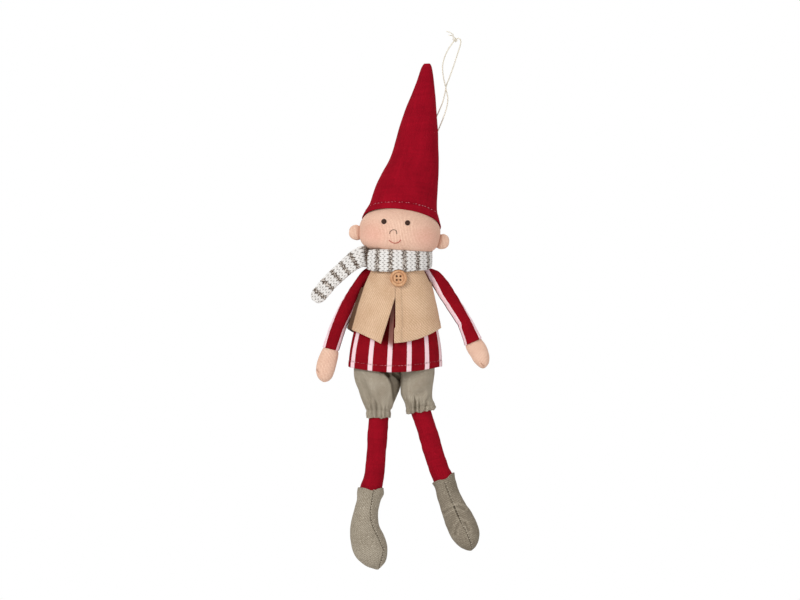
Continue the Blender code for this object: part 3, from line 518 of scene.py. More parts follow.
def foldedSheet(name, outer, thickness, paint, closed, marks):
    normal = normalsOf(outer, closed)
    inner = outer - normal * thickness
    hem = (outer[-1:] + inner[-1:]) / 2 + unit(outer[-1:] - outer[-2:-1]) * thickness * 0.35
    top = (outer[:1] + inner[:1]) / 2 + unit(outer[:1] - outer[1:2]) * thickness * 0.35
    grid = np.concatenate([top, outer, hem, inner[::-1]])
    uv = clothUv(outer, closed)
    uv = np.concatenate([uv[:1], uv, uv[-1:], uv[::-1]])
    spreadOut = {}
    for key, values in marks.items():
        values = np.broadcast_to(values, outer.shape[:2])
        spreadOut[key] = np.concatenate([values[:1], values, values[-1:], values[::-1]])
    return gridMesh(name, grid, paint, closed, joined=True, caps=not closed, marks=spreadOut,
                    uv=uv)


def frames(points):  # directions across a line that don't twist along it
    along = unit(np.gradient(points, axis=0))
    side = np.cross(along[0], (0.0, 1.0, 0.0))
    sides = []
    for t in along:
        side = unit(side - t * (side @ t))
        sides.append(side)
    sides = np.array(sides)
    return sides, np.cross(along, sides)


def stringMesh(name, points, size, plies, pitch, paint, step=0.22):
    points = spread(points, step)
    side, rise = frames(points)
    run = np.arange(len(points)) * step
    plyRadius = size / 2 * (0.56 if plies == 2 else 0.5)
    offset = size / 2 - plyRadius
    parts = []
    for k in range(plies):
        turn = 2 * pi * (run / pitch + k / plies)
        middle = points + (side * np.cos(turn)[:, None] + rise * np.sin(turn)[:, None]) * offset
        rings = [middle + (side * math.cos(a) + rise * math.sin(a)) * plyRadius
                 for a in 2 * pi * np.arange(6) / 6]
        grid = np.stack(rings, 1)
        parts.append(gridMesh(f"{name}Ply{k}", grid, paint))
    return joinUp(name, parts), points


def joinUp(name, parts):
    bpy.ops.object.select_all(action="DESELECT")
    for part in parts:
        part.select_set(True)
    bpy.context.view_layer.objects.active = parts[0]
    bpy.ops.object.join()
    parts[0].name = name
    parts[0].data.name = name
    return parts[0]


def stitches(name, slot, points, normal, paint, pitch, long, thick, lift, loose, keep=None):
    # short threads lying along a line of points, every pitch, only where keep is true
    chance = np.random.default_rng(len(points))
    points = np.asarray(points, float)
    run = np.concatenate([[0.0], np.cumsum(np.linalg.norm(np.diff(points, axis=0), axis=1))])
    parts, faces, total = [], [], 0
    ring = 2 * pi * np.arange(6) / 6
    for start in np.arange(pitch * 0.3, run[-1] - long, pitch):
        drift, stretch = chance.uniform(-loose, loose, 2)
        at = start + drift * pitch * 0.3 + np.linspace(0, long * (1 + stretch), 5)
        if keep is not None and not keep[min(np.searchsorted(run, at[2]), len(run) - 1)]:
            continue
        line = np.stack([np.interp(at, run, points[:, k]) for k in range(3)], 1)
        out = unit(np.stack([np.interp(at, run, normal[:, k]) for k in range(3)], 1))
        side = unit(np.cross(unit(np.gradient(line, axis=0)), out))
        line = line + side * drift * 0.35
        rise = np.array((-0.45, 0.2, 0.36, 0.2, -0.45)) * thick + lift
        girth = np.array((0.55, 0.95, 1.0, 0.95, 0.55)) * thick / 2
        for k in range(5):
            parts.append(line[k] + out[k] * rise[k]
                         + (side[k] * np.cos(ring)[:, None] + out[k] * np.sin(ring)[:, None]
                            ) * girth[k])
        for k in range(4):
            for c in range(6):
                a, b = total + k * 6 + c, total + k * 6 + (c + 1) % 6
                faces.append([a, b, b + 6, a + 6])
        faces.append([total + c for c in range(5, -1, -1)])
        faces.append([total + 24 + c for c in range(6)])
        total += 30
    mesh = bpy.data.meshes.new(name)
    mesh.from_pydata((np.concatenate(parts) + neckTop) * mm, [], faces)
    dress(meshObject(name, mesh, paint), slot=slot)


def onGrid(grid, row, column):  # points between the grid's own, rows and columns as numbers
    rows, columns = grid.shape[:2]
    row = np.clip(row, 0, rows - 1.001)
    i, j = np.floor(row).astype(int), np.floor(column).astype(int)
    a, b = (row - i)[:, None], (column - j)[:, None]
    j, m = j % columns, (j + 1) % columns
    return ((grid[i, j] * (1 - b) + grid[i, m] * b) * (1 - a)
            + (grid[i + 1, j] * (1 - b) + grid[i + 1, m] * b) * a)


# Hanging string: both strands start at the back of the hat's right edge

string = dict(
    size=0.9, twist=2.4, knotSize=0.765, knotTwist=1.6, knotWidth=1.2,
    route=((27.0, 5.6, 81.5), (28.4, 3.6, 84.4), (31.6, 1.6, 92.2), (34.0, 0.4, 99.4),
           (34.9, -0.6, 105.6), (34.1, -1.0, 110.4), (33.0, -0.9, 115.6), (31.7, -0.6, 121.6),
           (31.2, -0.2, 128.6), (32.7, 0.0, 135.2), (35.6, 0.0, 141.2), (38.8, 0.0, 145.6),
           (40.9, 0.0, 147.6), (42.2, 0.0, 148.1), (43.5, 0.0, 147.4), (44.0, 0.0, 145.6),
           (43.3, 0.0, 142.4), (41.4, 0.1, 136.4), (38.6, 0.4, 127.9), (36.2, 0.7, 121.2),
           (33.9, 0.9, 115.2), (33.0, 0.8, 110.4), (31.4, 1.0, 103.8), (28.7, 3.0, 97.2),
           (27.0, 5.4, 93.6)),
    knotAt=(39.9, 0.0, 146.7), knotTurns=2,
    longEnd=((34.0, -0.4, 153.0), (36.2, -0.9, 152.3), (38.6, -1.4, 150.9)),
    shortEnd=((37.6, 1.0, 150.2), (35.4, 0.6, 150.4)))


def knotRoute():
    before, top = np.array(string["route"])[11:13]
    along = unit(top - before)
    side = np.array((0.0, -1.0, 0.0))
    up = unit(np.cross(side, along))
    start = np.array(string["knotAt"]) - along * string["size"] * 0.8
    turns = [start + along * k / 16
             + (up * math.cos(k * pi / 8) + side * math.sin(k * pi / 8)) * string["knotWidth"]
             for k in range(string["knotTurns"] * 16 + 1)]
    return np.concatenate([smoothRows(string["longEnd"], 6), turns,
                           smoothRows(string["shortEnd"], 6)])


def makeString():
    route = smoothRows(string["route"], 12)
    cord, path = stringMesh("hangingString", route, string["size"], 3, string["twist"], cordCotton)
    knot, _ = stringMesh("stringKnot", knotRoute(), string["knotSize"], 2, string["knotTwist"],
                         cordCotton)
    dress(cord, "hanging_cord", slot="string_cotton")
    dress(knot, "loop_knot", slot="string_cotton")
    path = spread(path, 2.0)


makeString()
print("stage: string hung")


# Head: stuffed jersey, pressed flat from front to back

headShape = dict(width=57.0, depth=44.6, crown=20.0, chin=17.5, crownPower=1.7, chinPower=3.3,
                 middle=np.array((1.5, 0.0, 14.7)), tilt=math.radians(5.0), blushSize=10.0,
                 blush=((-19.0, -6.0), (19.5, -4.6)), wales=84)


def tilted(points, back=False):  # between the head's own upright frame and the doll's
    angle = headShape["tilt"] * (-1 if back else 1)
    c, s = math.cos(angle), math.sin(angle)
    x, z = points[..., 0], points[..., 2]
    return np.stack([x * c + z * s, points[..., 1], z * c - x * s], -1)


def headGrid(rows=110, columns=180):
    turn = around(columns)
    polar = pi * (np.arange(rows) + 0.5) / rows
    sine, cosine = np.sin(polar), np.cos(polar)
    up = cosine > 0  # the crown is rounder than the chin
    power = np.where(up, headShape["crownPower"], headShape["chinPower"])
    tall = np.where(up, headShape["crown"], headShape["chin"])
    # the same outline as the solid's, with its points spread by true angle
    reach = (np.abs(sine) ** power + np.abs(cosine) ** power) ** (-1 / power)
    radius, height = headShape["width"] / 2 * reach * sine, tall * reach * cosine
    flat = headShape["depth"] / headShape["width"]
    grid = np.stack([radius[:, None] * np.cos(turn), -radius[:, None] * np.sin(turn) * flat,
                     height[:, None] + turn * 0], 2)
    return tilted(grid) + headShape["middle"]


def headDepth(points, room=0.0):  # below 1 inside the head, above 1 outside it
    local = tilted(points - headShape["middle"], back=True)
    wide = headShape["width"] / 2 + room
    deep = headShape["depth"] / 2 + room
    up = local[..., 2] > 0
    power = np.where(up, headShape["crownPower"], headShape["chinPower"])
    tall = np.where(up, headShape["crown"], headShape["chin"]) + room
    radius = np.hypot(local[..., 0] / wide, local[..., 1] / deep)
    return (radius ** power + np.abs(local[..., 2] / tall) ** power) ** (1 / power), local


def outOfHead(points, room):  # push points that lie inside the head out to its surface
    inside, local = headDepth(points, room)
    push = np.where(inside < 1, 1 / np.maximum(inside, 0.05), 1.0)
    return tilted(local * push[..., None]) + headShape["middle"]


def facePoints(x, z, lift):  # on the front of the face, x and z from the head's middle
    x, z = np.asarray(x, float), np.asarray(z, float)
    power = np.where(z > 0, headShape["crownPower"], headShape["chinPower"])
    tall = np.where(z > 0, headShape["crown"], headShape["chin"])
    wide = headShape["width"] / 2 * (1 - np.minimum(np.abs(z) / tall, 1) ** power) ** (1 / power)
    y = -headShape["depth"] / headShape["width"] * np.sqrt(np.maximum(wide ** 2 - x ** 2, 0))
    return tilted(np.stack([x, y - lift, z], -1)) + headShape["middle"]


def makeHead():
    grid = headGrid()
    normal = normalsOf(grid)
    grid = grid + normal * (rumple(grid, 14.0, 3) * 0.25 + rumple(grid, 5.0, 4) * 0.08)[..., None]
    local = tilted(grid - headShape["middle"], back=True)
    blush = 0
    for x, z in headShape["blush"]:
        away = np.hypot(local[..., 0] - x, (local[..., 2] - z) * 1.15)
        blush = blush + bell(away, headShape["blushSize"]) * (local[..., 1] < 0)
    uv = clothUv(grid)
    share = np.linspace(-1, 1, grid.shape[1] + 1)
    uv[..., 0] = share * headShape["wales"]  # they run from crown to chin and close up there
    head = gridMesh("headBall", grid, skinJersey, marks={"blush": blush}, uv=uv)
    dress(head, "head", slot="skin_knit", fill=0.95)


def makeEar(name, node, side, nudge, reach):
    rows, columns = 48, 72
    turn = around(columns)
    polar = pi * (np.arange(rows) + 0.5) / rows
    x = np.sin(polar)[:, None] * np.cos(turn)
    y = -np.sin(polar)[:, None] * np.sin(turn)
    z = np.cos(polar)[:, None] + turn * 0
    blunt = np.hypot(x, z) / np.maximum((np.abs(x) ** 2.5 + np.abs(z) ** 2.5) ** 0.4, 1e-6)
    grid = np.stack([x * blunt * reach, y * 2.9, z * blunt * 5.5], 2)
    grid = tilted(grid) + tilted(np.array((side * 28.5, 0.0, nudge - 5.2)))
    grid = grid + headShape["middle"]
    away = (headDepth(grid)[0] - 1) * 26
    seam = bell(np.clip(away, 0, None), 0.8)
    normal = normalsOf(grid)
    grid = grid - normal * (bell(away - 0.4, 0.9) * 0.7)[..., None]
    grid = outOfHead(grid, -0.6)
    # painted shade in the crease where the ear meets the head, with half as much of the blush colour
    # there as warm painted shade
    ear = gridMesh(name, grid, skinJersey, marks={"paintedShade": seam, "blush": seam * 0.5})
    dress(ear, node, slot="skin_knit", fill=0.9)


def makeEye(name, node, x, z, size=3.7):
    turn = 2 * pi * np.arange(40) / 40
    shares = np.array((1.0, 1.0, 0.96, 0.88, 0.76, 0.6, 0.42, 0.22, 0.06))
    lift = 0.75 * np.sqrt(1 - np.minimum(shares, 0.999) ** 2) + 0.1
    lift[0] = -0.5
    across = x + size / 2 * shares[:, None] * np.cos(turn)
    up = z + size / 2 * shares[:, None] * np.sin(turn)
    thread = 0.07 * np.sin(across * 2 * pi / 0.5)  # satin stitches side by side
    grid = facePoints(across, up, lift[:, None] + thread)
    eye = gridMesh(name, grid, darkThread)
    dress(eye, node, slot="dark_thread")


def makeLine(name, node, route, paint, slot, size):
    flat = smoothRows(route, 8)
    lift = np.full(len(flat), size * 0.45)
    lift[0] = lift[-1] = -0.4
    line, _ = stringMesh(name, facePoints(flat[:, 0], flat[:, 1], lift), size, 2, 1.3, paint, 0.1)
    dress(line, node, slot=slot)


makeHead()
makeEar("earLeft", "left_ear", -1, 0.2, 7.0)
makeEar("earRight", "right_ear", 1, -0.9, 6.5)
makeEye("eyeLeft", "left_eye", -11.7, 4.1)
makeEye("eyeRight", "right_eye", 4.85, 4.55)
makeLine("noseLine", "nose", ((-6.94, -4.26), (-6.81, -2.82), (-5.8, -1.61), (-4.48, -1.07),
                              (-3.02, -1.37), (-2.26, -2.43), (-2.0, -3.83)),
         darkThread, "dark_thread", 0.45)
makeLine("mouthLine", "mouth", ((-7.05, -8.63), (-5.09, -9.82), (-2.55, -10.34), (-0.15, -9.38),
                                (1.07, -7.6)), coralThread, "red_thread", 0.55)
print("stage: head stuffed")


# Hat: a leaning cone of twill over the crown. Edges and depths are shares of the head's half
# width; heights are shares of the hat's height

hatShape = dict(
    height=115.9, back=4.4, hem=6.5, cloth=0.8, step=0.75, columns=200,
    rows=((-0.926, 0.066, 0.993, 0.011, 0.667, 0.083, 1.00),
          (-0.825, 0.117, 0.909, 0.087, 0.640, 0.066, 1.00),
          (-0.740, 0.157, 0.895, 0.139, 0.600, 0.056, 0.80),
          (-0.618, 0.256, 0.930, 0.254, 0.545, 0.030, 0.50),
          (-0.470, 0.329, 0.944, 0.344, 0.510, 0.017, 0.30),
          (-0.256, 0.425, 0.951, 0.441, 0.474, 0.009, 0.15),
          (-0.126, 0.534, 0.940, 0.556, 0.428, 0.000, 0.00),
          (-0.018, 0.622, 0.926, 0.646, 0.386, 0.000, 0.00),
          (0.193, 0.755, 0.891, 0.773, 0.302, 0.000, 0.00),
          (0.425, 0.900, 0.814, 0.909, 0.180, 0.000, 0.00),
          (0.537, 0.972, 0.758, 0.978, 0.110, 0.000, 0.00),
          (0.600, 0.996, 0.715, 0.997, 0.050, 0.000, 0.00)))


def makeHat():
    half, (side, _, rise) = headShape["width"] / 2, headShape["middle"]
    height, step = hatShape["height"], hatShape["step"]
    r = np.array(hatShape["rows"]).T
    rows = np.stack([side + r[0] * half, rise + r[1] * height, side + r[2] * half,
                     rise + r[3] * height, r[4] * half, r[5] * height, r[6] * hatShape["back"]], 1)
    grid, normal, _ = tube(evenRows(rows[::-1], step), hatShape["columns"])
    grid = grid + normal * (rumple(grid, 26.0, 11) * 0.5 + rumple(grid, 9.0, 12) * 0.16)[..., None]
    hemAt = len(grid) - 1 - hatShape["hem"] / step
    index = np.arange(len(grid))[:, None] + np.zeros(hatShape["columns"])
    dip = bell(index - hemAt - 0.3, 0.7)  # where the hem is stitched
    grid = grid + normal * (past(index - hemAt, 2.0) * 0.3 - dip * 0.35)[..., None]
    grid = withLip(outOfHead(grid, 1.1), hatShape["cloth"], 7.0)
    # painted shade along the stitched hem's dip
    hat = gridMesh("hatCone", grid, hatTwill, marks={"paintedShade": longer(dip * 0.5, grid)})
    dress(hat, "hat", slot="hat_twill", fill=0.7)
    columns = np.linspace(0, hatShape["columns"], 900)
    rows = columns * 0 + hemAt + 0.3
    line, out = onGrid(grid, rows, columns), onGrid(normalsOf(grid), rows, columns)
    stitches("hatTopstitch", "hat_twill", line, out, topThread, 2.5, 1.0, 0.34, 0.1, 0.7)


makeHat()
print("stage: hat sewn")


# Vest and tunic: flared shells; the arms pass through them

bodyShape = dict(width=34.0, depth=23.0, ease=0.8, cloth=0.9, collar=4.0, flare=15.6)


class Garment:
    def __init__(self, layer, length, drop, hemWidth, hemDepth, hemShift, hips=None, bulge=1.0,
                 slant=None):
        grown = layer * (bodyShape["ease"] + bodyShape["cloth"])
        self.collarWidth = bodyShape["width"] / 2 + grown
        self.collarDepth = bodyShape["depth"] / 2 + grown
        self.length, self.drop, self.hips, self.bulge, self.slant = length, drop, hips, bulge, slant
        self.hemWidth, self.hemDepth, self.hemShift = hemWidth / 2, hemDepth / 2, hemShift

    def share(self, z):
        start = bodyShape["flare"]
        return np.clip((-z - start) / (self.length - start), 0.0, 1.2)

    def halfWidth(self, z):
        share = self.share(z)
        if self.hips:
            share = np.sin(np.minimum(share, 1) * pi / 2) ** self.hips
        return self.collarWidth + (self.hemWidth - self.collarWidth) * share ** self.bulge

    def halfDepth(self, z):
        return self.collarDepth + (self.hemDepth - self.collarDepth) * self.share(z)

    def middle(self, z):
        return self.hemShift * self.share(z)

    def hem(self, turn):
        drop = self.drop * np.sin(turn) ** 2
        if self.slant:  # the left front's hem runs straight down to its corner
            slant = self.slant * (1 - np.abs(np.cos(turn)) ** 0.8)
            drop = np.where((np.cos(turn) < 0) & (np.sin(turn) > 0), slant, drop)
        return -self.length - drop

    def points(self, turn, z):
        return np.stack([self.middle(z) + self.halfWidth(z) * np.cos(turn),
                         -self.halfDepth(z) * np.sin(turn), z + turn * 0], -1)

    def turnAt(self, x, z):
        return np.arccos(np.clip((x - self.middle(z)) / self.halfWidth(z), -1, 1))


tunicCut = dict(length=81.3, drop=3.8, hemWidth=65.7, hemDepth=38.0, hemShift=-2.7, hips=1.3)
tunicLook = dict(stripes=12, pink=0.245, start=93.0, hem=4.2, rows=150, columns=300)
vestCut = dict(length=54.4, drop=10.4, hemWidth=65.8, hemDepth=40.0, hemShift=-2.8,
               bulge=0.75, slant=15.9)
vestLook = dict(rightEdge=-1.8, cornerOut=0.9, cornerAt=-54.6, slitTop=33.0, slitWidth=9.8,
                seam=0.12, hem=5.0, rows=150, columns=300,
                shadeLine=pixels((368.4, 276.0), (364.4, 287.4), (358.4, 306.1), (352.2, 329.4)))
armHoles = dict(left=pixels((371.2, 262.0), (371.0, 271.0), (366.8, 280.0), (363.2, 287.6),
                            (340.0, 287.6), (340.0, 262.0)),
                right=pixels((424.2, 262.0), (424.2, 271.0), (430.4, 284.0), (432.8, 290.0),
                             (450.0, 290.0), (450.0, 262.0)))
tunicShape, vestShape = Garment(1, **tunicCut), Garment(2, **vestCut)


def armRows(side, step):
    return evenRows([(*r[:4], r[4] * armShape["depth"], 0.0, r[5] * armShape["back"])
                     for r in armShape[side]], step)


def armRoom(side, air):  # the arm's own form and some air round it
    grid, normal, _ = tube(armRows(side, 4.0), 24, armShape["power"])
    return gridMesh("armRoom", grid + normal * air, shirtCotton)


def armHole(side):  # what the vest's front leaves open round the arm
    x, z = np.array(armHoles[side]).T
    rings = [np.stack([x, x * 0 + y, z], 1) for y in (-26.0, 0.5)]
    return gridMesh("armHole", np.stack(rings), shirtCotton)


def carve(made, cutters):
    for cutter in cutters:
        tool = made.modifiers.new("carve", "BOOLEAN")
        tool.operation = "DIFFERENCE"
        tool.object = cutter
    graph = bpy.context.evaluated_depsgraph_get()
    mesh = bpy.data.meshes.new_from_object(made.evaluated_get(graph))
    made.modifiers.clear()
    made.data = mesh
    mesh.shade_smooth()


def makeTunic():
    turn = around(tunicLook["columns"])
    share = np.linspace(0, 1, tunicLook["rows"])[:, None]
    z = -bodyShape["collar"] + (tunicShape.hem(turn) + bodyShape["collar"]) * share
    outer = tunicShape.points(turn + z * 0, z)
    fine = np.linspace(-pi / 2, 3 * pi / 2, 1441)
    hemLine = tunicShape.points(fine, fine * 0 - tunicShape.length)
    run = np.concatenate([[0], np.cumsum(np.linalg.norm(np.diff(hemLine, axis=0), axis=1))])
    start = np.interp(math.radians(tunicLook["start"]), fine, run)
    along = (np.interp(turn, fine, run) - start) / run[-1] * tunicLook["stripes"]
    phase = (along + 0.5 - tunicLook["pink"] / 2) % 1 - 0.5 + 0 * share  # from a stripe's middle
    stripe = tunicLook["pink"] / 2 - np.abs(phase)
    normal = normalsOf(outer)
    low = np.clip((share - 0.35) / 0.65, 0, 1)
    wave = low * (0.9 * np.sin(turn * 5 + 1.1) + 0.5 * np.sin(turn * 9 + 2.0)) * 0.7
    above = z - tunicShape.hem(turn)
    dip = bell(above - tunicLook["hem"], 0.5)  # where the hem is stitched
    outer = outer + normal * (wave - 0.35 + past(tunicLook["hem"] - above, 3) * 0.25 - dip * 0.2
                              + rumple(outer, 12, 21) * 0.25)[..., None]
    under = past(z - vestShape.hem(turn) - 1.0, 1.2)  # shaded by the vest
    # painted shade along the stitched hem's dip and on the tunic under the vest
    tunic = foldedSheet("tunicShell", outer, bodyShape["cloth"], shirtCotton, True,
                        {"stripe": stripe * 4, "paintedShade": np.clip(dip * 0.4 + under, 0, 1)})
    carve(tunic, armCutters)
    dress(tunic, "tunic", slot="red_cotton")
    rowAt = np.array([np.interp(tunicLook["hem"], above[::-1, j], np.arange(len(above))[::-1])
                      for j in range(above.shape[1])])
    columns = np.linspace(0, len(turn) - 0.001, 1500)
    rows = np.interp(columns, np.arange(len(turn) + 1), np.append(rowAt, rowAt[0]))
    line, out = onGrid(outer, rows, columns), onGrid(normalsOf(outer), rows, columns)
    pink = np.array([stripe[0, int(c) % len(turn)] > 0 for c in columns])
    for name, paint, keep in (("Pale", topThread, ~pink), ("Dark", duskThread, pink)):
        stitches("tunicTopstitch" + name, "red_cotton", line, out, paint, 2.3, 0.8, 0.34, 0.1, 0.6,
                 keep)


def makeVest():
    rows, columns = vestLook["rows"], vestLook["columns"]
    share = np.linspace(0, 1, columns)
    level = -vestCut["length"] - vestCut["drop"] * 0.9
    slit = vestCut["length"] + vestCut["drop"] - vestLook["slitTop"]

    def leftEdge(z):
        return (vestLook["rightEdge"] - vestLook["seam"]
                - vestLook["slitWidth"] * np.maximum(-z - vestLook["slitTop"], 0) / slit)

    def rightEdge(z):  # the hem's corner stands out a little
        return vestLook["rightEdge"] - vestLook["cornerOut"] * past(vestLook["cornerAt"] - z, 4)

    first = vestShape.turnAt(vestLook["rightEdge"], level)
    last = vestShape.turnAt(leftEdge(level), level) - 2 * pi
    hem = vestShape.hem(first + (last - first) * share)
    z = -bodyShape["collar"] + (hem + bodyShape["collar"]) * np.linspace(0, 1, rows)[:, None]
    here = vestShape.turnAt(rightEdge(z), z)
    there = vestShape.turnAt(leftEdge(z), z) - 2 * pi
    turn = here + (there - here) * share
    outer = vestShape.points(turn, z)
    normal = normalsOf(outer, False)
    low = np.clip((-z - 20) / 45, 0, 1)
    wave = low * (0.7 * np.sin(turn * 4 + 0.6) + 0.4 * np.sin(turn * 7 + 2.4))
    edge = np.minimum(share, 1 - share) * 190  # millimetres from the front edges
    turned = past(vestLook["hem"] - edge, 3) + past(vestLook["hem"] - (z - hem), 3)
    outer = outer + normal * (wave * 0.6 + np.clip(turned, 0, 1) * 0.25 - 0.2
                              + rumple(outer, 11, 31) * 0.25)[..., None]
    # painted shade: the left panel darkens left of the shade line, where its side turns away from the
    # light, and a faint painted shade line runs 4.8 mm in from the right front edge, where the turned
    # edge ends
    line = np.array(vestLook["shadeLine"])[::-1]
    shaded = np.clip((np.interp(outer[..., 2], line[:, 1], line[:, 0]) - outer[..., 0]) / 0.5, 0, 1)
    shaded = shaded * (outer[..., 2] < line[-1, 1]) * (share > 0.5)
    crease = bell(edge - 4.8, 0.6) * 0.2 * (share < 0.5)
    vest = foldedSheet("vestShell", outer, bodyShape["cloth"], vestTwill, False,
                       {"paintedShade": np.clip(shaded + crease, 0, 1)})
    carve(vest, vestCutters)
    dress(vest, "vest", slot="oat_linen")


# Arms and hands

armShape = dict(
    depth=5.0, back=3.4, power=2.2, step=0.7, columns=120,
    left=((-12.0, -12.2, -11.6, -20.8, 0.70, 1.0), (-18.9, -11.8, -17.2, -21.8, 0.72, 1.0),
          (-24.6, -14.6, -21.8, -24.2, 0.80, 1.0), (-30.0, -21.4, -25.8, -29.8, 0.94, 0.95),
          (-40.0, -36.8, -31.3, -43.8, 1.04, 0.7), (-48.1, -53.8, -37.0, -56.7, 1.1, 0.3),
          (-52.9, -67.5, -41.2, -70.4, 1.14, 0.0)),
    right=((11.6, -20.0, 12.0, -11.8, 0.70, 1.0), (17.6, -20.6, 19.6, -12.1, 0.72, 1.0),
           (22.4, -22.8, 25.2, -13.2, 0.80, 1.0), (25.2, -27.4, 30.8, -16.8, 0.94, 0.95),
           (33.0, -39.6, 41.5, -32.0, 1.04, 0.7), (39.8, -50.4, 49.9, -45.3, 1.1, 0.3),
           (42.2, -54.4, 52.6, -49.8, 1.12, 0.2), (46.4, -66.6, 58.9, -61.3, 1.14, 0.0)))
handShape = dict(
    depth=4.8, wrist=4.4, tuck=0.09,
    left=((-6.2, -1.0, 5.3, -3.2, 0.90), (-8.3, -5.6, 4.9, -7.3, 0.98),
          (-9.9, -10.9, 3.7, -12.6, 1.0), (-10.5, -15.4, 2.4, -17.1, 0.98),
          (-9.7, -19.1, 0.8, -20.6, 0.84), (-8.0, -21.7, -1.6, -22.8, 0.56),
          (-5.6, -23.4, -4.2, -23.6, 0.16)),
    right=((-5.2, -4.0, 6.0, 1.4, 0.90), (-3.6, -7.7, 9.0, -2.8, 0.98),
           (-1.5, -11.0, 10.6, -7.0, 1.0), (0.5, -14.2, 11.5, -11.3, 0.98),
           (3.0, -17.0, 11.2, -15.0, 0.84), (4.9, -18.6, 9.6, -17.6, 0.56),
           (6.6, -19.2, 7.9, -19.0, 0.16)))
dartLines = dict(left=pixels((318.5, 372.2), (316.2, 369.4)),
                 right=pixels((481.1, 363.6), (483.8, 366.8)))
armCutters = [armRoom(side, 0.5) for side in ("left", "right")]
vestCutters = [armHole(side) for side in ("left", "right")]
vestCutters += [armRoom(side, 0.25) for side in ("left", "right")]


# Pink stripes of the sleeves: which edge, how far above the cuff, and between which distances in
# from that edge, a distance below 0 being round on the back
sleeveStripes = dict(
    left=((-1, (0, 36, 50), (0.0, 0.0, -4.0), (2.1, 0.6, -0.6)),
          (1, (0, 40, 52), (0.55, 0.45, 0.2), (2.3, 1.5, 0.2))),
    right=((-1, (0, 12, 16, 40, 48, 55, 60), (0.5, 0.5, 0.7, 0.7, 0.7, 0.7, 5.8),
            (2.1, 2.1, 3.3, 3.4, 4.6, 5.3, 9.5)),
           (1, (0, 27, 42), (0.0, 0.0, -4.0), (2.2, 0.6, -0.6))))


def makeArm(side):
    step, columns = armShape["step"], armShape["columns"]
    rows = armRows(side, step)[8:]  # the solid shoulder ends at the body
    grid, normal, turn = tube(rows, columns, armShape["power"])
    half = np.hypot(rows[:, 0] - rows[:, 2], rows[:, 1] - rows[:, 3])[:, None] / 2
    above = (np.arange(len(rows))[::-1] * step)[:, None]
    stripe, rim = np.full((len(rows), columns), -1.0), 0.0
    for edge, heights, lows, highs in sleeveStripes[side]:
        inFrom = (half - half * np.cos(turn) * edge) * np.where(np.sin(turn) > 0, 1, -1)
        low, high = np.interp(above, heights, lows), np.interp(above, heights, highs)
        stripe = np.maximum(stripe, np.minimum(inFrom - low, high - inFrom))
        if lows[0] > 0:  # painted shade: a dark line between the stripe and the edge, where the seam lies in shadow
            rim = np.exp(-(inFrom / low) ** 4) * (high > low)
    seam = bell(1 - np.abs(np.cos(turn)), 0.012) + half * 0
    wrinkle = (rumple(grid * (1, 1, 2.2), 5.0, 41) * 0.18 + rumple(grid, 12.0, 42) * 0.3)
    grid = grid + normal * (wrinkle - seam * 0.25)[..., None]
    grid = withLip(grid, 0.9, 3.0)
    # painted shade in the seam's groove and along the arm's edge beside the stripe
    marks = {"stripe": longer(stripe, grid), "paintedShade": longer(np.clip(seam * 0.3 + rim, 0, 1), grid)}
    arm = gridMesh("arm" + side.title(), grid, shirtCotton, marks=marks)
    dress(arm, side + "_arm", slot="red_cotton", fill=0.8)


def makeHand(side):
    end = np.array(armShape[side][-1])
    middle = np.array(((end[0] + end[2]) / 2, 0, (end[1] + end[3]) / 2))
    rows = placed(handShape[side], middle[0], middle[2], handShape["depth"])
    before = np.array(armShape[side][-2])
    back = unit(np.array((before[0] + before[2], before[1] + before[3])) - 2 * middle[[0, 2]])
    cuff = end[:4] * (1 - handShape["tuck"]) + end[[2, 3, 0, 1]] * handShape["tuck"]
    wrist = [(*(cuff + np.tile(back * k, 2)), handShape["wrist"], 0.0, 0.0) for k in (2.6, 0.0)]
    grid, normal, turn = tube(evenRows([*wrist, *rows], 0.5), 110, 2.1)
    seam = bell(1 - np.abs(np.cos(turn)), 0.010) + grid[..., 0] * 0
    dart = -groove(grid, normal, dartLines[side], 0.45, 1.0)
    grid = grid + normal * (rumple(grid, 6.0, 51) * 0.22 - seam * 0.22 - dart * 0.5)[..., None]
    # painted shade in the dart and along the seam
    hand = gridMesh("hand" + side.title(), grid, skinJersey,
                    marks={"paintedShade": np.clip(dart * 0.9 + seam * 0.35, 0, 1)})
    dress(hand, side + "_hand", slot="skin_knit", fill=0.85)


for side in ("left", "right"):
    makeArm(side)
    makeHand(side)
makeTunic()
makeVest()
for cutter in armCutters + vestCutters:
    bpy.data.objects.remove(cutter)
print("stage: clothes and arms sewn")


# Button: turned wood with a raised rim and four holes

buttonShape = dict(size=12.0, thick=2.6, rim=1.9, dish=0.8, hole=1.6, apart=2.6, level=19.9)


def buttonPlace():
    level = -buttonShape["level"]
    above, below = vestShape.halfDepth(level + 1), vestShape.halfDepth(level - 1)
    slope = math.atan2(float(below - above), 2)
    return np.array((0.4, -(float(vestShape.halfDepth(level)) + 0.42), level)), slope


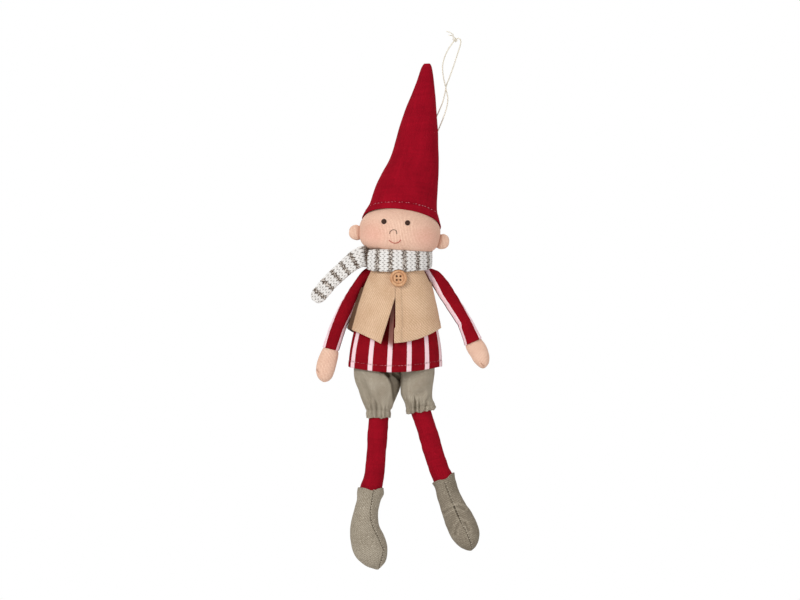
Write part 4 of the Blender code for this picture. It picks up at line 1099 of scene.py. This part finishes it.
def makeButton():
    half, thick = buttonShape["size"] / 2, buttonShape["thick"]
    inner, dish = half - buttonShape["rim"], buttonShape["dish"]
    profile = smoothRows(((0.05, thick - dish), (inner - 0.9, thick - dish),
                          (inner - 0.4, thick - dish + 0.12), (inner, thick - 0.3),
                          (inner + 0.35, thick - 0.04), (inner + 0.9, thick),
                          (half - 0.6, thick - 0.02), (half - 0.15, thick - 0.4),
                          (half, thick - 1.1), (half, 0.8), (half - 0.3, 0.2),
                          (half - 0.9, 0.0), (0.05, 0.0)), 4)
    turn = 2 * pi * np.arange(96) / 96
    place, slope = buttonPlace()
    c, s = math.cos(pi / 2 - slope), math.sin(pi / 2 - slope)

    def stand(points):
        x, y, z = points[..., 0], points[..., 1], points[..., 2]
        return np.stack([x, y * c - z * s, y * s + z * c], -1) + place

    flat = np.stack([profile[:, :1] * np.cos(turn), profile[:, :1] * np.sin(turn),
                     profile[:, 1:] + turn * 0], 2)
    dent = bell(profile[:, 0] - inner + 0.2, 0.35) * (profile[:, 1] > 1)  # inside the rim
    # painted shade in the groove inside the rim
    disc = gridMesh("buttonDisc", stand(flat), buttonWood,
                    marks={"paintedShade": dent[:, None] * 0.8 + turn * 0})
    radius, off = buttonShape["hole"] / 2, buttonShape["apart"] / 2
    ring = radius * np.stack([np.cos(turn[::4]), np.sin(turn[::4]), turn[::4] * 0], 1)
    drills = [gridMesh("drill", stand(np.stack([ring + (x, y, -3.0), ring + (x, y, 6.0)])), darkThread)
              for x in (-off, off) for y in (-off, off)]
    carve(disc, drills)
    for drill in drills:
        bpy.data.objects.remove(drill)
    disc.data.set_sharp_from_angle(angle=math.radians(50))
    dress(disc, "button", slot="pale_wood")


makeButton()
print("stage: button turned")


# Scarf: one knitted strip from the tip of the tail, behind the neck, round to the front

scarfShape = dict(
    thick=3.2, shift=-0.6, wale=2.8, tailCourse=2.83, backCourse=3.22, frontCourse=3.1, repeat=3,
    relief=0.5, firstBand=0.85, width=13.5, step=0.28, columns=112, power=3.4,
    tail=((-58.7, -1.5, -35.8, 1.4), (-58.1, -1.5, -35.0, 3.3), (-57.0, -1.5, -33.6, 4.6),
          (-55.4, -1.4, -31.5, 5.3), (-52.4, -1.3, -27.9, 5.6), (-47.5, -1.2, -22.3, 5.6),
          (-40.6, -1.8, -15.8, 5.5), (-34.2, -3.4, -10.2, 5.9), (-29.6, -4.7, -6.8, 6.4),
          (-26.4, -5.1, -5.2, 6.7), (-24.2, -4.7, -4.2, 6.9), (-23.0, -2.5, -4.2, 6.9),
          (-22.7, 1.2, -4.6, 6.9), (-22.6, 6.0, -5.2, 6.6)),
    wrap=((148, -5.2, 6.4), (120, -5.2, 6.4), (90, -5.2, 6.6), (60, -5.4, 6.6), (30, -5.6, 6.4),
          (0, -6.4, 5.9), (-30, -7.2, 6.6), (-60, -7.6, 7.2), (-90, -7.7, 7.6), (-120, -7.4, 7.5),
          (-140, -7.0, 7.2), (-150, -6.8, 6.6)))


def makeScarf():
    layers = 2 * (bodyShape["ease"] + bodyShape["cloth"]) + bodyShape["ease"]
    wide = bodyShape["width"] / 2 + layers + scarfShape["thick"] / 2
    deep = bodyShape["depth"] / 2 + layers + scarfShape["thick"] / 2
    wrap = [(scarfShape["shift"] + wide * math.cos(math.radians(a)),
             deep * math.sin(math.radians(a)), up, half) for a, up, half in scarfShape["wrap"]]
    step, columns, power = scarfShape["step"], scarfShape["columns"], scarfShape["power"]
    rows = spread(smoothRows(np.concatenate([scarfShape["tail"], wrap]), 16), step)
    points, half = rows[:, :3], rows[:, 3]
    along = unit(np.gradient(points, axis=0))
    flat = unit(np.cross(along, (0.0, 0.0, 1.0)))
    wideway = np.cross(flat, along)
    # spread the points evenly round the flat section, not by angle
    boxWide, boxThick = 7.0, scarfShape["thick"] / 2
    fine = 2 * pi * np.arange(2000) / 2000
    reach = (np.abs(np.cos(fine)) ** power + np.abs(np.sin(fine)) ** power) ** (-1 / power)
    section = np.stack([reach * np.cos(fine), reach * np.sin(fine)], 1)
    steps = np.hypot(*(np.diff(np.vstack([section, section[:1]]), axis=0)
                       * (boxWide, boxThick)).T)
    at = np.concatenate([[0], np.cumsum(steps)])
    wanted = at[-1] * np.arange(columns) / columns
    sx = np.interp(wanted, at, np.append(section[:, 0], section[0, 0]))
    sy = np.interp(wanted, at, np.append(section[:, 1], section[0, 1]))
    grid = (points[:, None] + wideway[:, None] * half[:, None, None] * sx[None, :, None]
            + flat[:, None] * boxThick * sy[None, :, None])
    normal = normalsOf(grid)
    across = sx[None, :] * half[:, None] * np.ones((len(rows), 1))
    wale = across / scarfShape["wale"]
    inWale = np.abs((wale % 1) - 0.5)  # 0 down the middle of a column of stitches
    inTail, behind = points[:, :1] < -22, points[:, 1:2] > 0
    pitch = np.where(behind, scarfShape["backCourse"], scarfShape["frontCourse"])
    pitch = np.where(inTail, scarfShape["tailCourse"], pitch)
    run = np.cumsum(step / pitch, 0) + scarfShape["firstBand"]
    course = run + inWale  # the legs of each stitch slant
    toCourse = np.abs((course + 0.5) % 1 - 0.5)
    between = np.minimum(inWale, 0.5 - inWale)
    slit, gap = bell(toCourse, 0.09), bell(between, 0.07)
    ply = np.abs(np.sin((course * 2) * pi)) * 0.18  # two strands in each leg
    hole = np.exp(-(toCourse / 0.13) ** 2 - (between / 0.13) ** 2)
    height = 1 - slit * 0.3 - gap * 0.35 - hole * 0.7 + ply
    brown = np.where(np.floor(course) % scarfShape["repeat"] < 1, 1.0, -1.0)
    lump = rumple(grid, 9.0, 61) * 0.25
    grid = grid + normal * ((height - 0.6) * scarfShape["relief"] + lump)[..., None]
    grid = outOfHead(grid, 0.3)
    place, _ = buttonPlace()
    dx, dz = grid[..., 0] - place[0], grid[..., 2] - place[2]
    clear = buttonShape["size"] / 2 + 0.3  # the scarf's edge gives way to the button
    under = (np.hypot(dx, dz) < clear) & (grid[..., 1] < 0)
    grid[..., 2] = np.where(under, place[2] + np.sqrt(np.maximum(clear ** 2 - dx ** 2, 0)),
                            grid[..., 2])
    # painted shade in the knit's holes and in the slits and gaps between stitches
    scarf = gridMesh("scarfStrip", grid, woolKnit,
                     marks={"stripe": brown,
                            "paintedShade": np.clip(hole * 1.2 + slit * 0.22 + gap * 0.22, 0, 1)})
    dress(scarf, "scarf", slot="white_wool")


makeScarf()
print("stage: scarf knitted")


# Trousers: two puffed legs, gathered into a frill over each knee

waist = -72.3
trouserShape = dict(
    depth=13.0, frill=dict(left=4.6, right=3.4), flare=dict(left=0.0, right=1.9), pleats=13,
    left=((-31.4, 0.0, 3.4, 0.0, 0.98), (-30.3, -16.7, 3.0, -16.6, 1.0),
          (-27.7, -25.6, 1.0, -24.7, 0.94), (-25.4, -32.1, -1.4, -31.2, 0.82),
          (-23.0, -37.4, -3.4, -37.1, 0.70)),
    right=((-1.2, 0.0, 25.4, 0.0, 0.98), (1.2, -16.4, 25.0, -15.8, 0.98),
           (1.6, -24.6, 23.9, -24.2, 0.90), (2.7, -30.2, 23.8, -29.7, 0.82),
           (5.0, -35.6, 24.4, -34.1, 0.72)),
    # creases from the top down: how wide, how deep, and where in the picture
    folds=dict(
        left=((1.0, 1.5, pixels((373.4, 396.0), (375.2, 401.0), (376.5, 406.0), (376.7, 417.0))),
              (0.9, 1.0, pixels((368.6, 399.0), (371.2, 405.0), (371.8, 416.0))),
              (0.8, 0.7, pixels((365.0, 402.0), (367.8, 409.0), (368.0, 416.0))),
              (0.7, 0.8, pixels((381.2, 403.0), (382.2, 409.0), (381.8, 417.0))),
              (0.7, 0.8, pixels((387.8, 402.5), (386.2, 408.0), (385.6, 417.0))),
              (2.2, 1.0, pixels((362.0, 372.0), (364.8, 384.0), (370.0, 397.0)))),
        right=((0.8, 1.6, pixels((414.4, 392.5), (415.0, 400.0), (415.2, 413.0))),
               (0.7, 1.0, pixels((419.6, 397.0), (419.2, 403.0), (419.4, 412.0))),
               (0.8, 1.0, pixels((430.4, 393.5), (427.2, 400.0), (425.8, 411.0))),
               (0.8, 0.8, pixels((404.2, 391.0), (407.4, 402.0), (410.4, 413.0))),
               (1.8, 0.8, pixels((412.0, 391.6), (417.5, 393.6), (423.4, 392.2))),
               (0.9, 0.7, pixels((409.0, 398.0), (412.0, 413.0))))),
    # the left leg's front panel ends on this line; the cloth lies deeper to the right of it
    panel=pixels((377.0, 371.0), (384.0, 373.8), (387.8, 378.0), (390.2, 383.0), (391.6, 391.0),
                 (392.2, 398.0), (394.0, 404.0)),
    tucks=(pixels((386.0, 371.0), (388.6, 375.4)),
           pixels((393.6, 374.0), (397.4, 376.8), (400.4, 381.0))),
    puff=pixels((434.2, 406.4))[0])
knees = dict(left=np.array((-13.5, 0.0, -40.2)), right=np.array((15.6, 0.0, -37.6)))
kneeLean = dict(left=np.array((0.0, 0.0, -1.0)), right=unit(np.array((0.16, 0.0, -1.0))))
stockingSize = dict(width=13.8, depth=12.6)
legGap = dict(middle=2.2, wave=0.5, clear=0.04)  # the wavy line that the two legs press along


def squareRow(middle, lean, halfWide, halfDeep, back=0.0):
    across = np.array((-lean[2], 0.0, lean[0])) * halfWide
    left, right = middle - across, middle + across
    return (left[0], left[2], right[0], right[2], halfDeep, 0.0, back)


def beyond(points, line):  # 1 to the right of a line that runs down, and how far from it
    near, _ = nearLine(points, line)
    line = np.array(line)[::-1]
    right = points[..., 0] - np.interp(points[..., 2], line[:, 1], line[:, 0])
    inRange = (points[..., 2] < line[-1, 1]) | (right > 0)
    return np.clip(np.where(right > 0, near, -near) / 0.8, 0, 1) * inRange, near


def makeTrouserLeg(side):
    rows = placed(trouserShape[side], 0.0, waist, trouserShape["depth"])
    lean = kneeLean[side]
    knee = knees[side] + (0, 0, waist)
    frill = trouserShape["frill"][side]
    snug = stockingSize["width"] / 2 + 0.3, stockingSize["depth"] / 2 + 0.3
    for share, room in ((0.0, 1.5), (0.5, 1.3), (1.0, 1.0)):
        row = squareRow(knee + lean * frill * share, lean, snug[0] + room, snug[1] + room)
        rows.append((row[0] - trouserShape["flare"][side], *row[1:]))
    grid, normal, turn = tube(evenRows(rows, 0.42), 260, 2.2)
    down = ((grid.mean(1) - knee) @ lean)[:, None]  # millimetres past the elastic
    seed = 71 if side == "left" else 77
    chance = np.random.default_rng(seed)
    pleats = trouserShape["pleats"]
    bends = turn + sum(chance.uniform(-0.16, 0.16) * np.sin(turn * k + chance.uniform(0, 6))
                       for k in (1, 2, 3))
    reach = 6 + 9 * (0.5 + 0.5 * np.sin(turn * 4 + chance.uniform(0, 6)))  # how far up each goes
    wave = np.cos(bends * pleats)
    wave = np.where(wave > 0, wave ** 0.8, -np.abs(wave) ** 1.6) * 0.5
    above = np.exp(-np.clip(-down, 0, None) / reach)
    size = 0.9 * above * (0.5 + 0.5 * np.sin(turn) ** 2)
    folds = sum(groove(grid, normal, line, width, depth, depth * 0.4, fade=0.45)
                for width, depth, line in trouserShape["folds"][side])
    front = np.clip(normal[..., 1] * -2, 0, 1)
    pinch = -0.5 * bell(down + 0.2, 1.0)
    # painted shade in the creases
    dark = np.clip(-folds * 0.22, 0, 0.4)
    shape = (wave * size * (1 - 0.6 * front) + folds + pinch
             + rumple(grid, 9.0, seed) * 0.5 + rumple(grid, 3.6, seed + 1) * 0.16)
    if side == "left":
        right, deep = beyond(grid, trouserShape["panel"])
        sunk = right * np.clip(-normal[..., 1] * 3, 0, 1) * np.clip((-down + 1) / 10, 0, 1)
        tucks = sum(groove(grid, normal, line, 1.1, 1.0) for line in trouserShape["tucks"])
        shape = shape + tucks * 1.2
        grid[..., 1] += sunk * 3.6
        # painted shade on the sunk cloth right of the panel's line, darkest near the line, and in the
        # tucks
        dark = dark + sunk * (0.44 + 0.4 * bell(deep, 1.6)) - tucks * 0.9
    else:
        x, z = trouserShape["puff"]
        shape = shape + 2.8 * np.exp(-((grid[..., 0] - x) ** 2 + (grid[..., 2] - z) ** 2) / 7.0)
    grid = grid + normal * shape[..., None]
    edge = np.clip(down / frill, 0, 1) ** 2 * (0.45 * np.sin(bends * pleats + 0.8)
                                                + 0.3 * np.sin(turn * 5 + 1))
    edge = edge * (0.25 + 0.75 * np.sin(turn) ** 2)  # no points at the sides
    grid = grid + lean * edge[..., None]
    middle = legGap["middle"] + legGap["wave"] * np.sin(grid[..., 1] / 2.5)
    if side == "left":
        grid[..., 0] = np.minimum(grid[..., 0], middle - legGap["clear"])
    else:
        grid[..., 0] = np.maximum(grid[..., 0], middle + legGap["clear"])
    grid = withLip(grid, 0.9, frill - 0.4)
    # painted shade also in the pleats' hollows
    dark = longer(np.clip(dark - np.minimum(wave, 0) * size * 0.2, 0, 1), grid)
    leg = gridMesh("trouserLeg" + side.title(), grid, greyLinen, marks={"paintedShade": dark})
    dress(leg, slot="grey_linen", fill=0.7)
    return leg


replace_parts(makeTrouserLeg("left"), "trousers")  # one piece for both legs' solid
makeTrouserLeg("right")
print("stage: trousers gathered")


# Stockings and boots

legShape = dict(
    bends=dict(left=((-14.0, -52.0), (-15.55, -75.4), (-16.8, -86.0)),
               right=((19.4, -51.0), (24.6, -68.4), (28.4, -80.4))),
    ankle=dict(left=np.array((-18.9, 0.0, -94.3)), right=np.array((31.5, 0.0, -86.9))),
    lean=dict(left=unit(np.array((-0.02, 0.0, -1.0))), right=unit(np.array((0.40, 0.0, -1.0)))),
    cuff=dict(left=9.1, right=8.2), cuffDepth=8.2, overlap=4.6)
bootShape = dict(
    depth=10.0, notch=1.8, step=0.45,
    left=((-9.6, -4.4, 9.1, -4.4, 0.80, 0.0), (-10.1, -9.2, 6.4, -9.0, 0.80, 0.0),
          (-12.3, -17.3, 4.9, -17.3, 0.88, -0.6), (-14.3, -25.3, 5.8, -26.0, 0.96, -1.6),
          (-14.8, -33.7, 9.0, -33.3, 1.0, -2.4), (-13.3, -42.8, 11.4, -40.0, 0.94, -3.0),
          (-9.1, -50.1, 11.2, -47.0, 0.78, -3.2), (-3.1, -54.8, 9.1, -52.9, 0.50, -3.2),
          (3.6, -57.2, 5.4, -57.0, 0.12, -3.2)),
    right=((-6.0, -7.6, 9.0, -1.6, 0.80, 0.0), (-3.8, -14.9, 11.5, -10.6, 0.80, 0.0),
           (-0.6, -24.6, 16.1, -18.6, 0.88, -0.6), (2.7, -35.0, 21.9, -27.7, 0.96, -1.6),
           (6.4, -42.3, 25.2, -36.1, 1.0, -2.4), (11.2, -47.9, 25.1, -43.1, 0.86, -3.0),
           (15.7, -50.7, 23.0, -48.1, 0.54, -3.2), (18.9, -51.5, 20.3, -51.0, 0.14, -3.2)),
    seam=dict(left=pixels((373.8, 488), (373.5, 492), (372.2, 500), (370.6, 510), (370.8, 519),
                          (373, 526), (377, 534), (381.4, 543.5), (383.8, 549), (382.6, 556),
                          (379, 568)),
              right=pixels((444.4, 481), (445.6, 485), (448.8, 493), (454, 506), (460.6, 521),
                           (467.2, 533.5), (470.2, 541), (472.4, 549))),
    split=pixels((454.2, 506.4), (455.2, 509.0), (457.6, 514.4), (460.0, 519.6)),
    creases=(pixels((454.0, 506.6), (449.0, 508.2), (443.6, 512.6)),
             pixels((454.4, 506.6), (459.0, 506.0), (464.6, 508.6)),
             pixels((459.8, 521.0), (456.4, 527.0), (455.0, 534.0)),
             pixels((461.4, 521.0), (466.0, 524.0), (468.6, 530.0))),
    # painted shade over the whole boot, more on the right one, which faces away from the light
    shadeAllOver=dict(left=0.05, right=0.42), slack=dict(left=0.0, right=0.75))


def makeStocking(side):
    knee = knees[side] + (0, 0, waist) + kneeLean[side] * 0.3
    middles = [knee, knee + kneeLean[side] * trouserShape["frill"][side]]
    middles += [np.array((x, 0.0, waist + z)) for x, z in legShape["bends"][side]]
    half = stockingSize["width"] / 2, stockingSize["depth"] / 2
    rows = []
    for i, middle in enumerate(middles):
        ahead, behind = middles[min(i + 1, len(middles) - 1)], middles[max(i - 1, 0)]
        aim = kneeLean[side] if i < 2 else unit(ahead - behind)
        rows.append(squareRow(middle, aim, *half))
    ankle, lean = legShape["ankle"][side] + (0, 0, waist), legShape["lean"][side]
    foot = legShape["cuff"][side] - 1.2, legShape["cuffDepth"] - 1.2
    rows += [squareRow(ankle, lean, *foot), squareRow(ankle + lean * 4.3, lean, *foot)]
    grid, normal, turn = tube(evenRows(rows, 0.7), 110, 2.05)
    seam = bell(turn + pi / 2, 0.05) + grid[..., 0] * 0
    crease = rumple(grid * (1, 1, 1.8), 7.0, 81) * 0.3
    grid = grid + normal * (crease + rumple(grid, 3.0, 82) * 0.08 - seam * 0.3)[..., None]
    # painted shade along the seam's groove
    leg = gridMesh("stocking" + side.title(), grid, stockingTwill, marks={"paintedShade": seam * 0.4})
    dress(leg, side + "_stocking", slot="hat_twill", fill=0.8)


def makeBoot(side):
    ankle, lean = legShape["ankle"][side] + (0, 0, waist), legShape["lean"][side]
    slack = bootShape["slack"][side]
    rows = [squareRow(ankle, lean, legShape["cuff"][side] + slack, legShape["cuffDepth"])]
    rows += placed(bootShape[side], ankle[0], ankle[2], bootShape["depth"])
    grid, normal, turn = tube(evenRows(rows, bootShape["step"])[::-1], 180, 2.1)
    line = bootShape["seam"][side]
    seam = groove(grid, normal, line, 0.5, 0.3, 0.15)
    seed = 91 if side == "left" else 95
    puckers = 0
    chance = np.random.default_rng(seed)
    for x, z in spread(np.array(line), 2.6)[1:-1]:
        for way in (-1, 1):
            long, drop = chance.uniform(1.5, 3.6), chance.uniform(-0.5, 0.8)
            ends = [(x + way * 0.6, z), (x + way * long, z - drop * long * 0.6)]
            puckers = puckers + groove(grid, normal, ends, 0.6, chance.uniform(0.05, 0.16))
    if side == "right":
        seam = seam + groove(grid, normal, bootShape["split"], 0.45, 0.8, 0.3)
        puckers = puckers + sum(groove(grid, normal, crease, 0.9, 0.3, 0.3)
                                for crease in bootShape["creases"])
    lumps = rumple(grid, 8.0, seed) * 0.45 + rumple(grid, 3.2, seed + 1) * 0.14
    grid = grid + normal * (seam + puckers + lumps)[..., None]
    fromCuff = (np.arange(len(grid))[::-1] * bootShape["step"])[:, None]
    notch = np.clip(np.sin(turn + 0.12), 0, 1) ** 10
    notch = notch + np.clip(-np.cos(turn), 0, 1) ** 1.5 * slack
    notch = notch * np.exp(-fromCuff / 4.0)
    grid = grid + lean * (notch * bootShape["notch"])[..., None]
    grid = withLip(grid, 0.9, legShape["overlap"])
    # painted shade over the whole boot, in the seam's groove and in the puckers
    paintedShade = longer(np.clip(bootShape["shadeAllOver"][side] - seam * 0.45 - puckers * 0.6, 0, 1), grid)
    boot = gridMesh("boot" + side.title(), grid, greyLinen, marks={"paintedShade": paintedShade})
    dress(boot, side + "_boot", slot="grey_linen", fill=0.8)
    sewSeam(side, grid, line)


def sewSeam(side, grid, line):
    # the stitches lie on the boot's front, wherever the seam passes
    front = grid[:, 45:136]
    flat = front[..., [0, 2]].reshape(-1, 2)
    path = spread(np.array(line), 0.5)
    nearest = [int(np.argmin(((flat - p) ** 2).sum(1))) for p in path]
    surface = front.reshape(-1, 3)[nearest]
    surface[:, 0], surface[:, 2] = path[:, 0], path[:, 1]
    surface[:, 1] = np.convolve(np.pad(surface[:, 1], 2, "edge"), np.ones(5) / 5, "valid")
    out = np.tile((0.0, -1.0, 0.0), (len(surface), 1))
    for name, start, shift, paint in (("Pale", 0, 0.35, paleThread),
                                      ("Dark", 2, -0.1, umberThread)):
        moved = surface[start:] + (shift, -0.3, 0.0)
        stitches(f"bootStitch{name}{side.title()}", "grey_linen", moved, out[start:], paint, 1.9,
                 0.7, 0.55, 0.05, 0.4)


for side in ("left", "right"):
    makeStocking(side)
    makeBoot(side)
print("stage: legs and boots stuffed")


# What stays of the solids gets its cloth too

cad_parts["body"].data.materials.clear()
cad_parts["body"].data.materials.append(vestTwill)


# Room and light

room = dict(floor=-375.0, size=1150.0, fade=(0.45, 1.0), soft=0.42, aim=(-0.04, 0.0, -0.19),
            lamps=dict(keyLight=((-1.15, -1.45, 0.6), 1.0, 23),  # place, size, watts
                       fillLight=((1.3, -1.4, 0.0), 1.4, 10),
                       topLight=((0.1, 0.6, 1.2), 0.9, 7)))


def stagePaint():  # pale paper that takes the shadow and fades into the white round it
    paint = Paint("paperWhite", 1.0)
    paint.finish(tone(240, 240, 240))
    x, y = paint.split(paint.inSpace(), 2)
    away = ((x * x + y * y) ** 0.5).ramp(*room["fade"])
    seen = paint.add("ShaderNodeLightPath", out="Is Camera Ray")
    white = paint.add("ShaderNodeEmission", None, {"Color": (1, 1, 1, 1), "Strength": 1.0})
    both = paint.add("ShaderNodeMixShader", None,
                     {0: away * seen, 1: Value(paint, paint.shader.outputs[0]), 2: white})
    paint.tree.links.new(both.socket, paint.tree.nodes["Material Output"].inputs["Surface"])
    return paint.material


def makeFloor():
    turn = 2 * pi * np.arange(96) / 96
    rim = np.stack([np.cos(turn), np.sin(turn), turn * 0], 1) * room["size"] * mm
    mesh = bpy.data.meshes.new("floor")
    mesh.from_pydata(rim, [], [list(range(96))])
    mesh.materials.append(stagePaint())
    floor = addObject("floor", mesh)
    floor.location = (neckTop + (0, 0, room["floor"])) * mm


def makeLamp(name, place, size, power):
    data = bpy.data.lights.new(name, "AREA")
    data.shape = "DISK"
    data.size, data.energy = size, power
    lamp = addObject(name, data)
    lamp.location = place
    heading = Vector(room["aim"]) - Vector(place)
    lamp.rotation_euler = heading.to_track_quat("-Z", "Y").to_euler()


def makeWorld():  # soft light on the doll, white behind it and in its gloss
    world = bpy.data.worlds.new("studio")
    bpy.context.scene.world = world
    world.use_nodes = True
    nodes, links = world.node_tree.nodes, world.node_tree.links
    nodes.clear()
    rays, seen = nodes.new("ShaderNodeLightPath"), nodes.new("ShaderNodeMath")
    blend, out = nodes.new("ShaderNodeMixShader"), nodes.new("ShaderNodeOutputWorld")
    seen.operation = "MAXIMUM"
    for k, ray in enumerate(("Is Camera Ray", "Is Glossy Ray")):
        links.new(rays.outputs[ray], seen.inputs[k])
    links.new(seen.outputs[0], blend.inputs[0])
    for k, strength in ((1, room["soft"]), (2, 1.0)):
        light = nodes.new("ShaderNodeBackground")
        light.inputs["Color"].default_value = (1, 1, 1, 1)
        light.inputs["Strength"].default_value = strength
        links.new(light.outputs[0], blend.inputs[k])
    links.new(blend.outputs[0], out.inputs["Surface"])


makeFloor()
makeWorld()
for name, (place, size, power) in room["lamps"].items():
    makeLamp(name, place, size, power)
bpy.context.scene.view_settings.view_transform = "Standard"
print("stage: lit")
